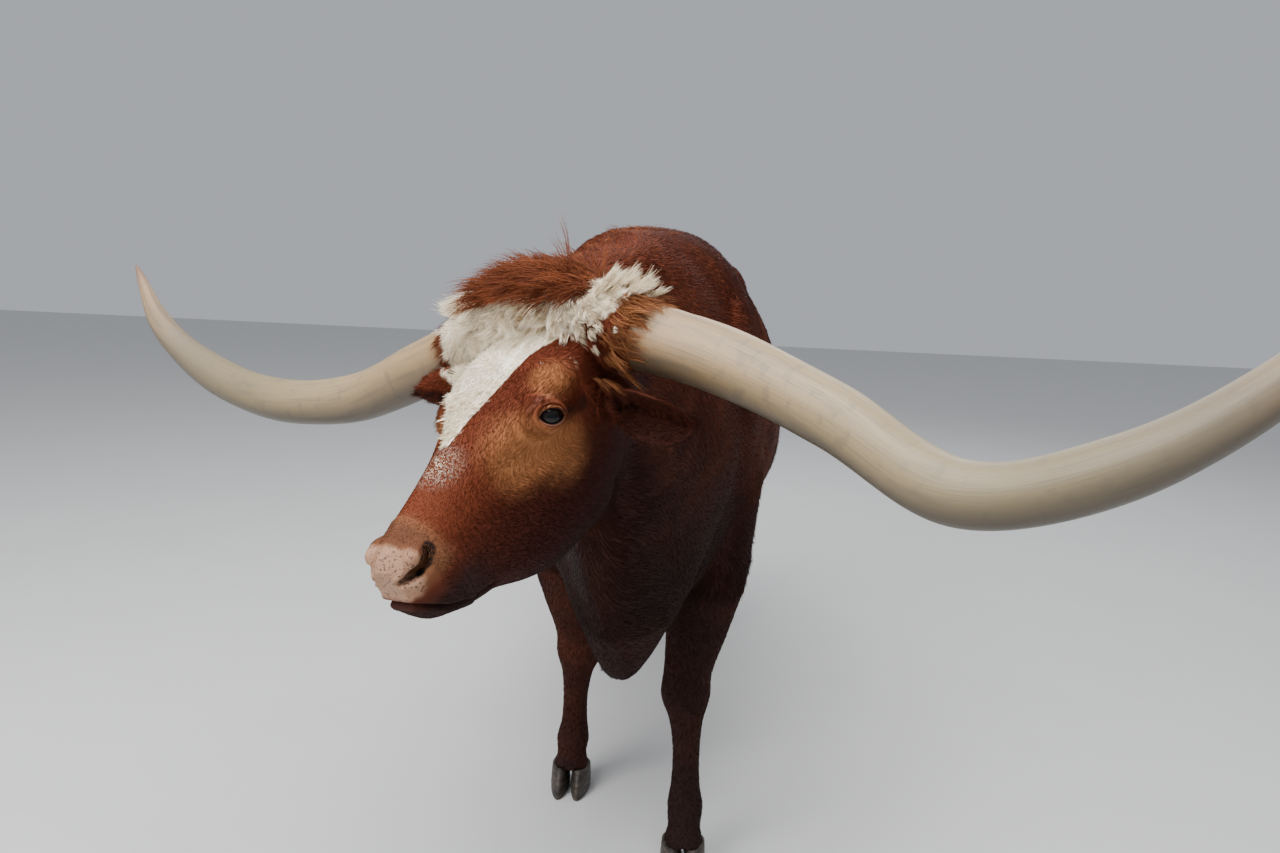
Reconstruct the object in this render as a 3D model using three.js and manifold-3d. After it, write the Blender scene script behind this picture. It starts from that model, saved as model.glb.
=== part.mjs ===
// A life-size longhorn steer that stands on four feet, its head lowered and turned to its right.
// Millimetres, +Z up. The body faces -Y and its left side is +X. The stations below are in that frame,
// apart from the head's own pieces, which are in the head's frame: origin on the poll, nose along -Y.
import * as THREE from "three";
import { mergeVertices } from "three/addons/utils/BufferGeometryUtils.js";
import Module from "manifold-3d";

const wasm = await Module();
wasm.setup();

// Driving dimensions
const withersHeight = 1438;
const hipHeight = 1425;
const bellyHeight = 592;
const brisketHeight = 492;
const elbowHeight = 780;
const kneeHeight = 372;
const hockHeight = 550;
const fetlockHeight = 128;
const coronetHeight = 62;
const footSpread = 150; // from the middle plane to the middle of each foot
const foreStride = 160; // the left forefoot is this far ahead of the shoulder, the right one behind
const hindFootY = 1250; // the middle of the two hind feet
const hindStride = 60; // the right hind foot is this far ahead of that, the left one behind
const eyeRadius = 22.5;
const seam = 0.3; // the gap that touching pieces keep

// Pose of the head: where its poll is in the body's frame, and its turns
const pollPlace = new THREE.Vector3(-103, -626, 1282);
const headPitch = THREE.MathUtils.degToRad(31);
const headRoll = THREE.MathUtils.degToRad(-9);
const headYaw = THREE.MathUtils.degToRad(-27.3);
const headToBody = new THREE.Matrix4()
  .makeRotationFromEuler(new THREE.Euler(headPitch, headRoll, headYaw, "ZXY"))
  .setPosition(pollPlace);

// Finishes, in the colours of overcast light
const finish = (color, roughness) => new THREE.MeshStandardMaterial({ color, roughness });
const redCoat = finish(0x7a3a20, 0.75);
const whiteCoat = finish(0xe6ddcf, 0.75);
const longHair = finish(0x8a4526, 0.8);
const hornKeratin = finish(0xb9ad98, 0.5);
const hoofKeratin = finish(0x2c2620, 0.6);
const wetEye = finish(0x120c0a, 0.08);

// Reads rows of [place, value, ...] at any place, on a smooth curve through every row.
function stations(rows) {
  const slope = (k, c) => {
    const before = rows[Math.max(k - 1, 0)];
    const after = rows[Math.min(k + 1, rows.length - 1)];
    return (after[c] - before[c]) / (after[0] - before[0]);
  };
  return (place) => {
    let k = 0;
    while (k < rows.length - 2 && place > rows[k + 1][0]) k++;
    const span = rows[k + 1][0] - rows[k][0];
    const t = (place - rows[k][0]) / span;
    return rows[0].slice(1).map((_, i) => {
      const [p, q] = [rows[k][i + 1], rows[k + 1][i + 1]];
      const [m, n] = [slope(k, i + 1) * span, slope(k + 1, i + 1) * span];
      return p + t * m + t * t * (3 * (q - p) - 2 * m - n) + t * t * t * (2 * (p - q) + m + n);
    });
  };
}

// Evenly spaced places from first to last.
function spaced(first, last, steps) {
  return Array.from({ length: steps + 1 }, (_, k) => first + ((last - first) * k) / steps);
}

// A closed geometry over a stack of rings with equal numbers of points, with a fan on each end.
function stack(rings) {
  const around = rings[0].length;
  const points = rings.flat();
  const middle = (ring) => ring.reduce((sum, p) => sum.add(p), new THREE.Vector3()).divideScalar(around);
  const index = [];
  for (let r = 0; r + 1 < rings.length; r++) {
    for (let i = 0; i < around; i++) {
      const a = r * around + i;
      const b = r * around + ((i + 1) % around);
      index.push(a, b, b + around, a, b + around, a + around);
    }
  }
  const last = (rings.length - 1) * around;
  points.push(middle(rings[0]), middle(rings[rings.length - 1]));
  for (let i = 0; i < around; i++) {
    const j = (i + 1) % around;
    index.push(points.length - 2, j, i, points.length - 1, last + i, last + j);
  }
  return new THREE.BufferGeometry().setFromPoints(points).setIndex(index);
}

// A closed geometry as a solid whose faces point out.
function solid(geometry) {
  const bare = geometry.clone();
  bare.deleteAttribute("normal");
  bare.deleteAttribute("uv");
  const merged = mergeVertices(bare, 1e-3);
  const triVerts = new Uint32Array(merged.index.array);
  const place = (n) => new THREE.Vector3().fromBufferAttribute(merged.attributes.position, n);
  let sixVolumes = 0;
  for (let i = 0; i < triVerts.length; i += 3) {
    const [a, b, c] = [place(triVerts[i]), place(triVerts[i + 1]), place(triVerts[i + 2])];
    sixVolumes += a.dot(b.cross(c));
  }
  if (sixVolumes < 0) triVerts.reverse();
  const vertProperties = merged.attributes.position.array;
  return new wasm.Manifold(new wasm.Mesh({ numProp: 3, vertProperties, triVerts }));
}

const joined = (pieces) => pieces.reduce((whole, piece) => whole.add(piece));
const cutBy = (piece, cutters) => cutters.reduce((rest, cutter) => rest.subtract(cutter), piece);
const inBody = (piece) => piece.transform(headToBody.elements);

// A solid as a named mesh that keeps only its largest closed surface.
function node(name, piece, material) {
  const largest = piece.decompose().reduce((a, b) => (b.volume() > a.volume() ? b : a));
  const { vertProperties, triVerts, numProp } = largest.getMesh();
  const count = vertProperties.length / numProp;
  const places = new Float32Array(count * 3);
  for (let i = 0; i < count; i++) {
    places.set(vertProperties.subarray(i * numProp, i * numProp + 3), i * 3);
  }
  const geometry = new THREE.BufferGeometry()
    .setAttribute("position", new THREE.BufferAttribute(places, 3))
    .setIndex(new THREE.BufferAttribute(triVerts, 1));
  geometry.computeVertexNormals();
  const mesh = new THREE.Mesh(geometry, material);
  mesh.name = name;
  return mesh;
}

// A point on a superellipse: 2 is an oval, more is squarer.
function rounded(turn, power) {
  const [c, s] = [Math.cos(turn), Math.sin(turn)];
  return [Math.sign(c) * Math.abs(c) ** (2 / power), Math.sign(s) * Math.abs(s) ** (2 / power)];
}

const turns = (sides) => Array.from({ length: sides }, (_, i) => (i / sides) * 2 * Math.PI);

// An ellipsoid at a place, turned about X, then about Z.
function bulge(place, half, turnX = 0, turnZ = 0, wide = 10, high = 6) {
  const round = new THREE.SphereGeometry(1, wide, high).scale(...half);
  return solid(round.rotateX(turnX).rotateZ(turnZ).translate(...place));
}

// A slab that fills all on one side of a plane, near a point of it.
function side(point, normal, reach = 3000) {
  const away = normal.clone().normalize();
  const slab = new THREE.BoxGeometry(2 * reach, 2 * reach, reach).translate(0, 0, reach / 2);
  const turn = new THREE.Quaternion().setFromUnitVectors(new THREE.Vector3(0, 0, 1), away);
  return solid(slab.applyQuaternion(turn).translate(point.x, point.y, point.z));
}

// The two sides of a planar cut, each half a seam clear of it.
function bothSides(point, normal) {
  const step = normal.clone().setLength(seam / 2);
  return [side(point.clone().add(step), normal), side(point.clone().sub(step), normal.clone().negate())];
}

// A tube along a curve, whose section at a share of its length is an oval of two half widths. Its first
// section can be set back.
function sweep(curve, shares, sides, oval, up, setBack = 0) {
  const rings = shares.map((share) => {
    const tangent = curve.getTangentAt(share);
    const across = new THREE.Vector3().crossVectors(tangent, up).normalize();
    const lift = new THREE.Vector3().crossVectors(across, tangent);
    const [a, b] = oval(share);
    const centre = curve.getPointAt(share).addScaledVector(tangent, share ? 0 : -setBack);
    return turns(sides).map((turn) =>
      centre
        .clone()
        .addScaledVector(across, a * Math.cos(turn + Math.PI / sides))
        .addScaledVector(lift, b * Math.sin(turn + Math.PI / sides)),
    );
  });
  return solid(stack(rings));
}

const curveThrough = (points) => new THREE.CatmullRomCurve3(points.map((p) => new THREE.Vector3(...p)));

// Trunk: y, top, belly, half width, height of the widest place, squareness of the upper half
const trunkAt = stations([
  [-330, 1120, 640, 70, 860, 2],
  [-250, 1250, 600, 165, 880, 2.1],
  [-140, 1375, 600, 225, 920, 2.3],
  [0, withersHeight - 4, 620, 262, 960, 2.6],
  [160, withersHeight, 640, 292, 950, 2.5],
  [350, 1420, 625, 335, 930, 2.2],
  [560, 1405, bellyHeight, 366, 900, 2.1],
  [780, 1405, bellyHeight - 4, 364, 905, 2.1],
  [960, 1416, 650, 325, 980, 2.1],
  [1110, hipHeight, 760, 285, 1080, 2.1],
  [1260, 1405, 860, 235, 1140, 2.1],
  [1380, 1350, 960, 165, 1170, 2],
  [1450, 1270, 1080, 85, 1180, 2],
]);

function trunk() {
  const rings = spaced(-330, 1450, 18).map((y) => {
    const [top, belly, half, widest, squareness] = trunkAt(y);
    return turns(24).map((turn) => {
      const upper = Math.sin(turn) > 0;
      const [across, rise] = rounded(turn, upper ? squareness : 2.2);
      return new THREE.Vector3(half * across, y, widest + rise * (upper ? top - widest : widest - belly));
    });
  });
  const shoulders = [-1, 1].map((hand) => bulge([hand * 196, -10, 1005], [88, 175, 300], 0.25));
  const hips = [-1, 1].map((hand) => bulge([hand * 150, 1050, 1250], [123, 200, 122]));
  const pins = [-1, 1].map((hand) => bulge([hand * 86, 1345, 1220], [80, 112, 98]));
  return joined([solid(stack(rings)), ...shoulders, ...hips, ...pins]);
}

// Neck: top x, y, z, bottom x, y, z, half width, how much the dewlap narrows
const headPoint = (x, y, z) => new THREE.Vector3(x, y, z).applyMatrix4(headToBody);
const napeTop = headPoint(0, 30, 2);
const throat = headPoint(0, -108, -280);
const neckAt = stations([
  [0, 0, 120, 1420, 0, -40, 660, 258, 0.1],
  [1, 0, -10, 1434, 0, -215, 545, 246, 0.42],
  [2, -5, -120, 1426, -2, -318, brisketHeight, 212, 0.5],
  [3, -22, -245, 1424, -12, -410, 610, 178, 0.5],
  [4, -50, -375, 1400, -32, -490, 770, 150, 0.4],
  [5, -80, -500, 1364, -58, -540, 900, 130, 0.25],
  [6, ...napeTop, ...throat, 108, 0.05],
  [7, ...headPoint(0, -45, -12), ...headPoint(0, -160, -275), 92, 0.05],
]);

function neck(grow = 0) {
  const headAcross = new THREE.Vector3(1, 0, 0).transformDirection(headToBody);
  const rings = spaced(0, 7, 11).map((place) => {
    const [tx, ty, tz, bx, by, bz, half, narrowing] = neckAt(place);
    const [top, bottom] = [new THREE.Vector3(tx, ty, tz + grow), new THREE.Vector3(bx, by, bz - grow)];
    const middle = top.clone().lerp(bottom, 0.45);
    const across = new THREE.Vector3(1, 0, 0).lerp(headAcross, Math.min(1, place / 6)).normalize();
    return turns(20).map((turn) => {
      const upper = Math.sin(turn) > 0;
      const [out, rise] = rounded(turn, upper ? 2.4 : 2.3);
      const width = (half + grow) * (upper ? 1 : 1 - narrowing * Math.abs(rise) ** 1.4);
      return middle
        .clone()
        .lerp(upper ? top : bottom, Math.abs(rise))
        .addScaledVector(across, out * width);
    });
  });
  return solid(stack(rings));
}

// Head: distance from the poll towards the nose, top, then half width and height of the brow,
// of the cheek and of the jaw, then bottom
const skullAt = stations([
  [-60, -20, 60, -40, 75, -100, 55, -170, -200],
  [0, 8, 80, -8, 100, -75, 62, -190, -235],
  [60, 10, 104, -8, 118, -80, 72, -215, -265],
  [120, 6, 116, -14, 124, -86, 84, -240, -304],
  [185, 0, 114, -20, 116, -92, 84, -254, -320],
  [235, -6, 101, -32, 104, -100, 78, -262, -324],
  [295, -14, 72, -40, 86, -115, 70, -262, -316],
  [355, -22, 52, -50, 72, -120, 60, -246, -288],
  [420, -34, 42, -60, 62, -122, 53, -214, -246],
  [472, -46, 41, -68, 58, -118, 50, -196, -225],
  [506, -54, 39, -75, 56, -118, 45, -184, -208],
  [532, -64, 34, -82, 46, -120, 37, -170, -190],
  [551, -82, 22, -92, 28, -120, 22, -148, -161],
]);

function skull(grow = 0) {
  const sides = 24;
  const rings = [...spaced(-60, 455, 12), ...spaced(480, 550, 4)].map((toNose) => {
    const [top, brow, browZ, cheek, cheekZ, jaw, jawZ, bottom] = skullAt(toNose);
    const half = [[brow, browZ], [cheek, cheekZ], [jaw, jawZ]];
    const mirrored = [...half].reverse().map(([x, z]) => [-x, z]);
    const outline = [[0, top + grow], ...half, [0, bottom - grow], ...mirrored];
    const points = outline.map(([x, z]) => new THREE.Vector3(x + Math.sign(x) * grow, -toNose, z));
    return new THREE.CatmullRomCurve3(points, true).getPoints(sides).slice(0, sides);
  });
  return solid(stack(rings));
}

const eyePlace = (hand) => new THREE.Vector3(hand * 99, -226, -55);
const gaze = (hand) => new THREE.Vector3(hand * 0.84, -0.46, 0.24).normalize();

// The lids: a shell round the eye with an almond-shaped opening whose long way runs nose to ear.
function lids(hand) {
  const centre = eyePlace(hand);
  const shell = bulge(centre.toArray(), [28, 29, 27], 0, 0, 14, 10);
  const rim = bulge([hand * 81, -224, -53], [42, 52, 38], 0, hand * 0.2);
  return shell.add(rim);
}

function eyeOpening(hand) {
  const out = gaze(hand);
  const along = new THREE.Vector3(hand * 0.42, 0.86, -0.12);
  const wide = along.addScaledVector(out, -along.dot(out)).normalize();
  const high = new THREE.Vector3().crossVectors(out, wide).normalize();
  const centre = eyePlace(hand);
  const rings = [10, 40].map((reach) =>
    turns(14).map((turn) => {
      const [a, b] = [21 * Math.cos(turn), 15.5 * Math.sin(turn)];
      return centre.clone().addScaledVector(out, reach).addScaledVector(wide, a).addScaledVector(high, b);
    }),
  );
  return solid(stack(rings));
}

// The wing of a nostril and the comma-shaped hollow under it.
function nostrilWing(hand) {
  return bulge([hand * 34, -505, -84], [18, 30, 21], 0, hand * 0.3);
}

function nostrilHollow(hand) {
  const comma = curveThrough([
    [hand * 28, -549, -100],
    [hand * 43, -535, -98],
    [hand * 54, -515, -91],
    [hand * 54, -500, -79],
  ]);
  const oval = (share) => [16 * Math.sin(Math.PI * (0.15 + 0.75 * share)), 6];
  return sweep(comma, spaced(0, 1, 5), 8, oval, new THREE.Vector3(hand, -0.6, 0.4));
}

// The groove between the lips, round the front of the muzzle from corner to corner.
function mouthLine() {
  const line = curveThrough([
    [-66, -430, -214],
    [-59, -474, -203],
    [-47, -518, -173],
    [0, -556, -138],
    [47, -518, -173],
    [59, -474, -203],
    [66, -430, -214],
  ]);
  return sweep(line, spaced(0, 1, 10), 4, () => [24, 2.2], new THREE.Vector3(0, 0, 1));
}

// Horns: points on the axis in the head's frame, and the radius at a share of the length
const leftHornAxis = curveThrough([
  [129, -35, -26],
  [319, -67, -75],
  [506, -129, -134],
  [695, -215, -191],
  [878, -200, -160],
  [1050, -140, -75],
  [1195, -30, 55],
]);
const rightHornAxis = curveThrough([
  [-130, -33, -18],
  [-317, -71, -60],
  [-502, -105, -97],
  [-699, -132, -78],
  [-882, -120, -20],
  [-1048, -75, 83],
  [-1181, 22, 199],
]);
const hornRadius = stations([
  [0, 57],
  [0.17, 52],
  [0.34, 47],
  [0.5, 44],
  [0.68, 38],
  [0.85, 24],
  [0.96, 11],
  [1, 3],
]);
const hornShares = [...spaced(0, 0.95, 18), 0.98, 1];

function horn(axis, grow = 0) {
  const oval = (share) => Array(2).fill(hornRadius(share)[0] + grow);
  return sweep(axis, hornShares, 14, oval, new THREE.Vector3(0, 0, 1), grow);
}

// The hide-covered boss that a horn grows out of. The right one reaches further along its horn.
const bossReach = (axis) => (axis === leftHornAxis ? 0.05 : 0.075);

function hornBoss(axis, grow = 0) {
  const start = axis.getPointAt(0).addScaledVector(axis.getTangentAt(0), -90);
  const path = new THREE.CatmullRomCurve3([start, axis.getPointAt(0), axis.getPointAt(bossReach(axis))]);
  const oval = (share) => Array(2).fill(74 - 14 * share * share + grow);
  return sweep(path, spaced(0, 1, 3), 14, oval, new THREE.Vector3(0, 0, 1));
}

// Ears: a leaf from its root to its tip, cupped towards its front
const earHalf = stations([[0, 22], [0.18, 30], [0.45, 45], [0.7, 40], [0.9, 21], [1, 5]]);
const leftEarAxis = curveThrough([
  [92, -96, -120],
  [160, -110, -128],
  [222, -121, -140],
  [276, -124, -152],
]);
const rightEarAxis = curveThrough([
  [-92, -96, -112],
  [-158, -124, -88],
  [-214, -144, -68],
  [-260, -152, -52],
]);

function earLeaf(hand, shares, grow, thick, push) {
  const axis = hand > 0 ? leftEarAxis : rightEarAxis;
  const front = new THREE.Vector3(hand * 0.15, -0.93, 0.1).normalize();
  const rings = shares.map((share) => {
    const tangent = axis.getTangentAt(share);
    const upward = new THREE.Vector3().crossVectors(tangent, front).normalize();
    const ahead = new THREE.Vector3().crossVectors(upward, tangent).multiplyScalar(hand);
    const width = earHalf(share)[0] + grow;
    const centre = axis.getPointAt(share).addScaledVector(ahead, push);
    centre.addScaledVector(tangent, share ? 0 : -Math.max(grow, 0));
    return turns(10).map((turn) => {
      const cupping = 0.45 * width * Math.cos(turn) ** 2;
      return centre
        .clone()
        .addScaledVector(upward, width * Math.cos(turn))
        .addScaledVector(ahead, cupping + thick * Math.sin(turn));
    });
  });
  return solid(stack(rings));
}

const earThickness = 14;
const ear = (hand) =>
  earLeaf(hand, spaced(0, 1, 7), 0, earThickness, 0).subtract(
    earLeaf(hand, spaced(0.3, 0.93, 4), -9, 11, 10),
  );
const earRoom = (hand) => earLeaf(hand, spaced(0, 1, 7), seam, earThickness + seam, 0);

// Legs: height, middle x from the foot's, middle y from the foot's, half width, reach ahead, reach behind
const legLeanEnd = 900;

function leg({ hand, footY, topY, rows }, grow = 0) {
  const at = stations(rows);
  const heights = rows.flatMap((row, k) => (k ? [(rows[k - 1][0] + row[0]) / 2, row[0]] : [row[0]]));
  const rings = heights.map((z) => {
    const [inward, back, half, ahead, behind] = at(z);
    const lean = Math.min(1, (z - coronetHeight) / (legLeanEnd - coronetHeight));
    const y = footY + (topY - footY) * lean + back;
    return turns(12).map((turn) => {
      const [out, along] = rounded(turn, 2.2);
      const reach = (along < 0 ? ahead : behind) + grow;
      return new THREE.Vector3(hand * (footSpread - inward) + (half + grow) * out, y + along * reach, z);
    });
  });
  return solid(stack(rings));
}

const foreRows = [
  [coronetHeight, 0, -34, 47, 46, 44],
  [94, 0, -24, 39, 38, 38],
  [fetlockHeight, 0, -8, 43, 41, 45],
  [172, 2, 0, 35, 34, 38],
  [250, 4, 0, 33, 34, 35],
  [318, 8, 0, 41, 41, 40],
  [kneeHeight, 12, 0, 58, 53, 47],
  [430, 9, 0, 58, 52, 50],
  [520, -6, 4, 74, 66, 64],
  [640, -14, 8, 102, 90, 92],
  [elbowHeight, -14, 14, 120, 112, 118],
  [930, -10, 10, 134, 138, 136],
];
const hindRows = [
  [coronetHeight, 0, -34, 45, 44, 42],
  [94, 0, -24, 38, 37, 37],
  [fetlockHeight, 0, -8, 42, 41, 45],
  [172, 0, 0, 34, 34, 38],
  [260, 0, 6, 31, 34, 36],
  [400, 0, 22, 33, 38, 40],
  [480, 0, 38, 41, 48, 50],
  [hockHeight, 0, 46, 50, 58, 74],
  [610, 0, 40, 50, 66, 88],
  [680, 2, 6, 60, 92, 96],
  [780, 4, -56, 84, 150, 140],
  [880, 4, -90, 104, 205, 182],
  [1000, 14, -90, 122, 235, 215],
  [1150, 30, -80, 120, 220, 210],
];

// Claws: two to a foot, each with a flat sole on the floor, and two dewclaws behind the fetlock
function claw(hand, inner, footY) {
  const away = inner ? -hand : hand;
  const x = hand * footSpread + away * 27;
  const rows = [
    [0, 23, 84, 34],
    [22, 24, 78, 36],
    [44, 23, 66, 36],
    [coronetHeight - seam, 22, 53, 34],
  ];
  const rings = rows.map(([z, half, ahead, behind]) =>
    turns(10).map((turn) => {
      const [out, along] = rounded(turn, 2.3);
      const y = footY - 30 + along * (along < 0 ? ahead : behind);
      const pinch = 1 - 0.3 * Math.max(0, -along) ** 2;
      return new THREE.Vector3(x + half * out * pinch - away * 3 * Math.max(0, -along), y, z);
    }),
  );
  return solid(stack(rings));
}

function dewclaw({ hand, footY }, inner, grow = 0) {
  const away = inner ? -hand : hand;
  const place = [hand * footSpread + away * 21, footY + 42, fetlockHeight - 14];
  return bulge(place, [11 + grow, 15 + grow, 19 + grow], 0.35, 0, 6, 5);
}

// Tail: a dock that hangs from the rump and ends in a switch
const tailAxis = curveThrough([
  [0, 1345, 1352],
  [0, 1425, 1345],
  [2, 1482, 1240],
  [5, 1488, 1020],
  [8, 1480, 780],
  [10, 1478, 560],
  [10, 1480, 360],
]);
const dockRadius = stations([[0, 42], [0.12, 37], [0.3, 27], [0.55, 20], [0.75, 15], [1, 12]]);

function dock(grow = 0) {
  const oval = (share) => Array(2).fill(dockRadius(share)[0] + grow);
  return sweep(tailAxis, spaced(0, 0.9, 12), 8, oval, new THREE.Vector3(1, 0, 0), grow);
}

// The core of the switch, half way out to the tips of its locks
function switchCore() {
  const half = stations([[0.66, 12], [0.74, 20], [0.84, 25], [0.93, 18], [1, 6]]);
  const oval = (share) => Array(2).fill(half(share)[0]);
  return sweep(tailAxis, spaced(0.66, 0.97, 4), 8, oval, new THREE.Vector3(1, 0, 0));
}

const tailCut = (share) => bothSides(tailAxis.getPointAt(share), tailAxis.getTangentAt(share));

// Hair: numbers between 0 and 1 that come in the same order each time
function seeded(seed) {
  let state = seed;
  return () => {
    state = (state * 16807) % 2147483647;
    return state / 2147483647;
  };
}

// A flat lock that leaves its root along the skin, bends to one side and tapers to its tip.
const lockSections = [[0, 0.75, 1], [0.3, 1, 1], [0.68, 0.7, 0.7], [1, 0.1, 0.25]];

function lock(root, outward, way, { length, wide, thick, lift, sunk }, bend) {
  const along = way.clone().addScaledVector(outward, -way.dot(outward)).normalize();
  const across = new THREE.Vector3().crossVectors(outward, along).normalize();
  const rings = lockSections.map(([share, widening, thickening]) => {
    const centre = root
      .clone()
      .addScaledVector(along, length * share)
      .addScaledVector(outward, lift * Math.sin(share * 2) - sunk * (1 - share) ** 2)
      .addScaledVector(across, bend * share * share);
    const [a, b] = [wide * widening, thick * thickening];
    return [[a, 0], [0, b], [-a, 0], [0, -b]].map(([x, z]) =>
      centre.clone().addScaledVector(across, x).addScaledVector(outward, z),
    );
  });
  return solid(stack(rings));
}

// The crown of hair between the horns: its core, and a place on it from its share across and its angle
const crownMiddle = new THREE.Vector3(-3, -12, 24);
const crownHalf = new THREE.Vector3(110, 62, 60);
const crownCore = () => bulge(crownMiddle.toArray(), crownHalf.toArray(), 0, 0, 14, 7);

function crownPlace(share, angle) {
  const round = Math.sqrt(1 - share * share);
  const unit = new THREE.Vector3(share, -round * Math.cos(angle), round * Math.sin(angle));
  return [unit.clone().multiply(crownHalf).add(crownMiddle), unit.divide(crownHalf).normalize()];
}

const crownLock = { length: 74, wide: 17, thick: 4.5, lift: 30, sunk: 14 };
const crownWay = new THREE.Vector3(-0.9, -0.4, 0.25);

function crownLocks() {
  const chance = seeded(11);
  const locks = [];
  for (const angle of [0.3, 0.8, 1.3, 1.85]) {
    for (const share of spaced(-0.44, 0.8, 4)) {
      const [place, outward] = crownPlace(share + 0.08 * (chance() - 0.5), angle + 0.2 * (chance() - 0.5));
      const way = new THREE.Vector3(0.3 * (chance() - 0.5), 0.3 * (chance() - 0.5), 0).add(crownWay);
      const length = crownLock.length * (0.8 + 0.4 * chance());
      locks.push(lock(place, outward, way, { ...crownLock, length }, 34 * (chance() - 0.5)));
    }
  }
  return joined(locks);
}

// The hair round the root of a horn: a skirt that lies along the horn, and a tuft that stands on top
const skirtLock = { length: 62, wide: 17, thick: 3.5, lift: -5, sunk: 6 };
const tuftLock = { length: 78, wide: 15, thick: 5, lift: 6, sunk: 16 };

function rootHair(axis, hand) {
  const chance = seeded(hand > 0 ? 23 : 29);
  const along = axis.getTangentAt(0);
  const up = new THREE.Vector3(0, 0, 1).addScaledVector(along, -along.z).normalize();
  const ahead = new THREE.Vector3().crossVectors(along, up).multiplyScalar(-hand);
  const outwardAt = (angle) =>
    ahead.clone().multiplyScalar(Math.cos(angle)).addScaledVector(up, Math.sin(angle));
  const skirt = spaced(-2.1, 0.9, 7).map((angle) => {
    const outward = outwardAt(angle);
    const root = axis.getPointAt(0).addScaledVector(outward, 66).addScaledVector(along, 8 * chance());
    const length = skirtLock.length * (0.9 + 0.4 * chance());
    return lock(root, outward, along, { ...skirtLock, length }, 20 * (chance() - 0.5));
  });
  const tuft = spaced(0.8, 2.1, 6).map((angle, k) => {
    const root = axis.getPointAt(0).addScaledVector(outwardAt(angle), 62);
    root.addScaledVector(along, k % 2 ? 6 : 34);
    const lean = 0.4 + 0.4 * chance();
    const way = outwardAt(angle * 0.5 + 0.8).addScaledVector(along, lean);
    const length = tuftLock.length * (0.8 + 0.4 * chance());
    return lock(root, ahead, way, { ...tuftLock, length }, 26 * (chance() - 0.5));
  });
  return joined([...skirt, ...tuft]);
}

// The locks of the switch hang in tiers round the end of the dock
const switchLock = { length: 190, wide: 15, thick: 5, lift: 20, sunk: 12 };

function switchLocks() {
  const chance = seeded(37);
  const down = new THREE.Vector3(0, 0, -1);
  const locks = [];
  for (const share of [0.73, 0.79, 0.85, 0.91]) {
    for (const turn of turns(4)) {
      const around = turn + share * 20;
      const outward = new THREE.Vector3(Math.cos(around), Math.sin(around), 0);
      const root = tailAxis.getPointAt(share).addScaledVector(outward, 16);
      const length = switchLock.length * (0.75 + 0.35 * chance());
      locks.push(lock(root, outward, down, { ...switchLock, length }, 40 * (chance() - 0.5)));
    }
  }
  return joined(locks);
}

// The block of the crown that is cut off the head
function crownBlock(grow = 0) {
  const [low, high] = [[-100, -86, -8], [100, 70, 110]];
  const [x, y, z] = high.map((v, i) => v - low[i] + 2 * grow);
  const middle = high.map((v, i) => (v + low[i]) / 2);
  return solid(new THREE.BoxGeometry(x, y, z).translate(...middle));
}

// Where the head is parted from the neck, and the neck from the trunk
const headAcross = new THREE.Vector3(1, 0, 0).transformDirection(headToBody);
const nape = headPoint(0, 26, 0);
const napeNormal = new THREE.Vector3().crossVectors(headAcross, throat.clone().sub(nape));
const [neckSide, headSide] = bothSides(nape, napeNormal);
const neckBase = new THREE.Vector3(0, -40, withersHeight);
const [neckAhead, trunkBehind] = bothSides(neckBase, new THREE.Vector3(0, -870, 290));

const sides = [
  { side: "left", hand: 1, hornAxis: leftHornAxis },
  { side: "right", hand: -1, hornAxis: rightHornAxis },
];

function bossCut(axis) {
  const along = axis.getTangentAt(0);
  return bothSides(axis.getPointAt(0).addScaledVector(along, -22), along);
}

const baseRoom = (axis) => hornBoss(axis, seam).subtract(bossCut(axis)[1]);

// The head's flesh and what is cut from it, in the head's frame
const earRoot = (hand) => bulge([hand * 104, -94, -114], [34, 40, 38]);
const cheek = (hand) => bulge([hand * 60, -195, -205], [34, 92, 84]);
const ball = (hand, grow = 0) => bulge(eyePlace(hand).toArray(), Array(3).fill(eyeRadius + grow), 0, 0, 14, 10);

const headFlesh = joined([
  skull(),
  ...sides.flatMap(({ hand, hornAxis }) => [
    lids(hand),
    nostrilWing(hand),
    earRoot(hand),
    cheek(hand),
    hornBoss(hornAxis).intersect(bossCut(hornAxis)[1]),
  ]),
]);
const headCuts = [
  mouthLine(),
  crownBlock(seam),
  ...sides.flatMap(({ hand, hornAxis }) => [
    ball(hand, seam),
    eyeOpening(hand),
    nostrilHollow(hand),
    horn(hornAxis, seam),
    earRoom(hand),
    baseRoom(hornAxis),
  ]),
];

const model = new THREE.Group();
const headAndNeck = inBody(headFlesh).add(neck());
const frontAndTrunk = neck().add(trunk());

model.add(node("head", cutBy(headAndNeck.intersect(headSide), headCuts.map(inBody)), redCoat));
const roomUnderCrown = joined([skull(seam), ...sides.map(({ hornAxis }) => hornBoss(hornAxis, seam))]);
const poll = inBody(crownCore().add(crownLocks()))
  .add(headAndNeck.intersect(inBody(crownBlock())))
  .subtract(inBody(roomUnderCrown).add(neck(seam)).subtract(inBody(crownBlock())))
  .subtract(inBody(joined(sides.map(({ hornAxis }) => baseRoom(hornAxis)))));
model.add(node("poll", poll, whiteCoat));
const besideNeck = [
  crownBlock(seam),
  ...sides.flatMap(({ hand, hornAxis }) => [hornBoss(hornAxis, seam), earRoom(hand)]),
];
const neckFlesh = inBody(skull()).add(frontAndTrunk).intersect(neckSide).intersect(neckAhead);
model.add(node("neck", cutBy(neckFlesh, besideNeck.map(inBody)), redCoat));

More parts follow.
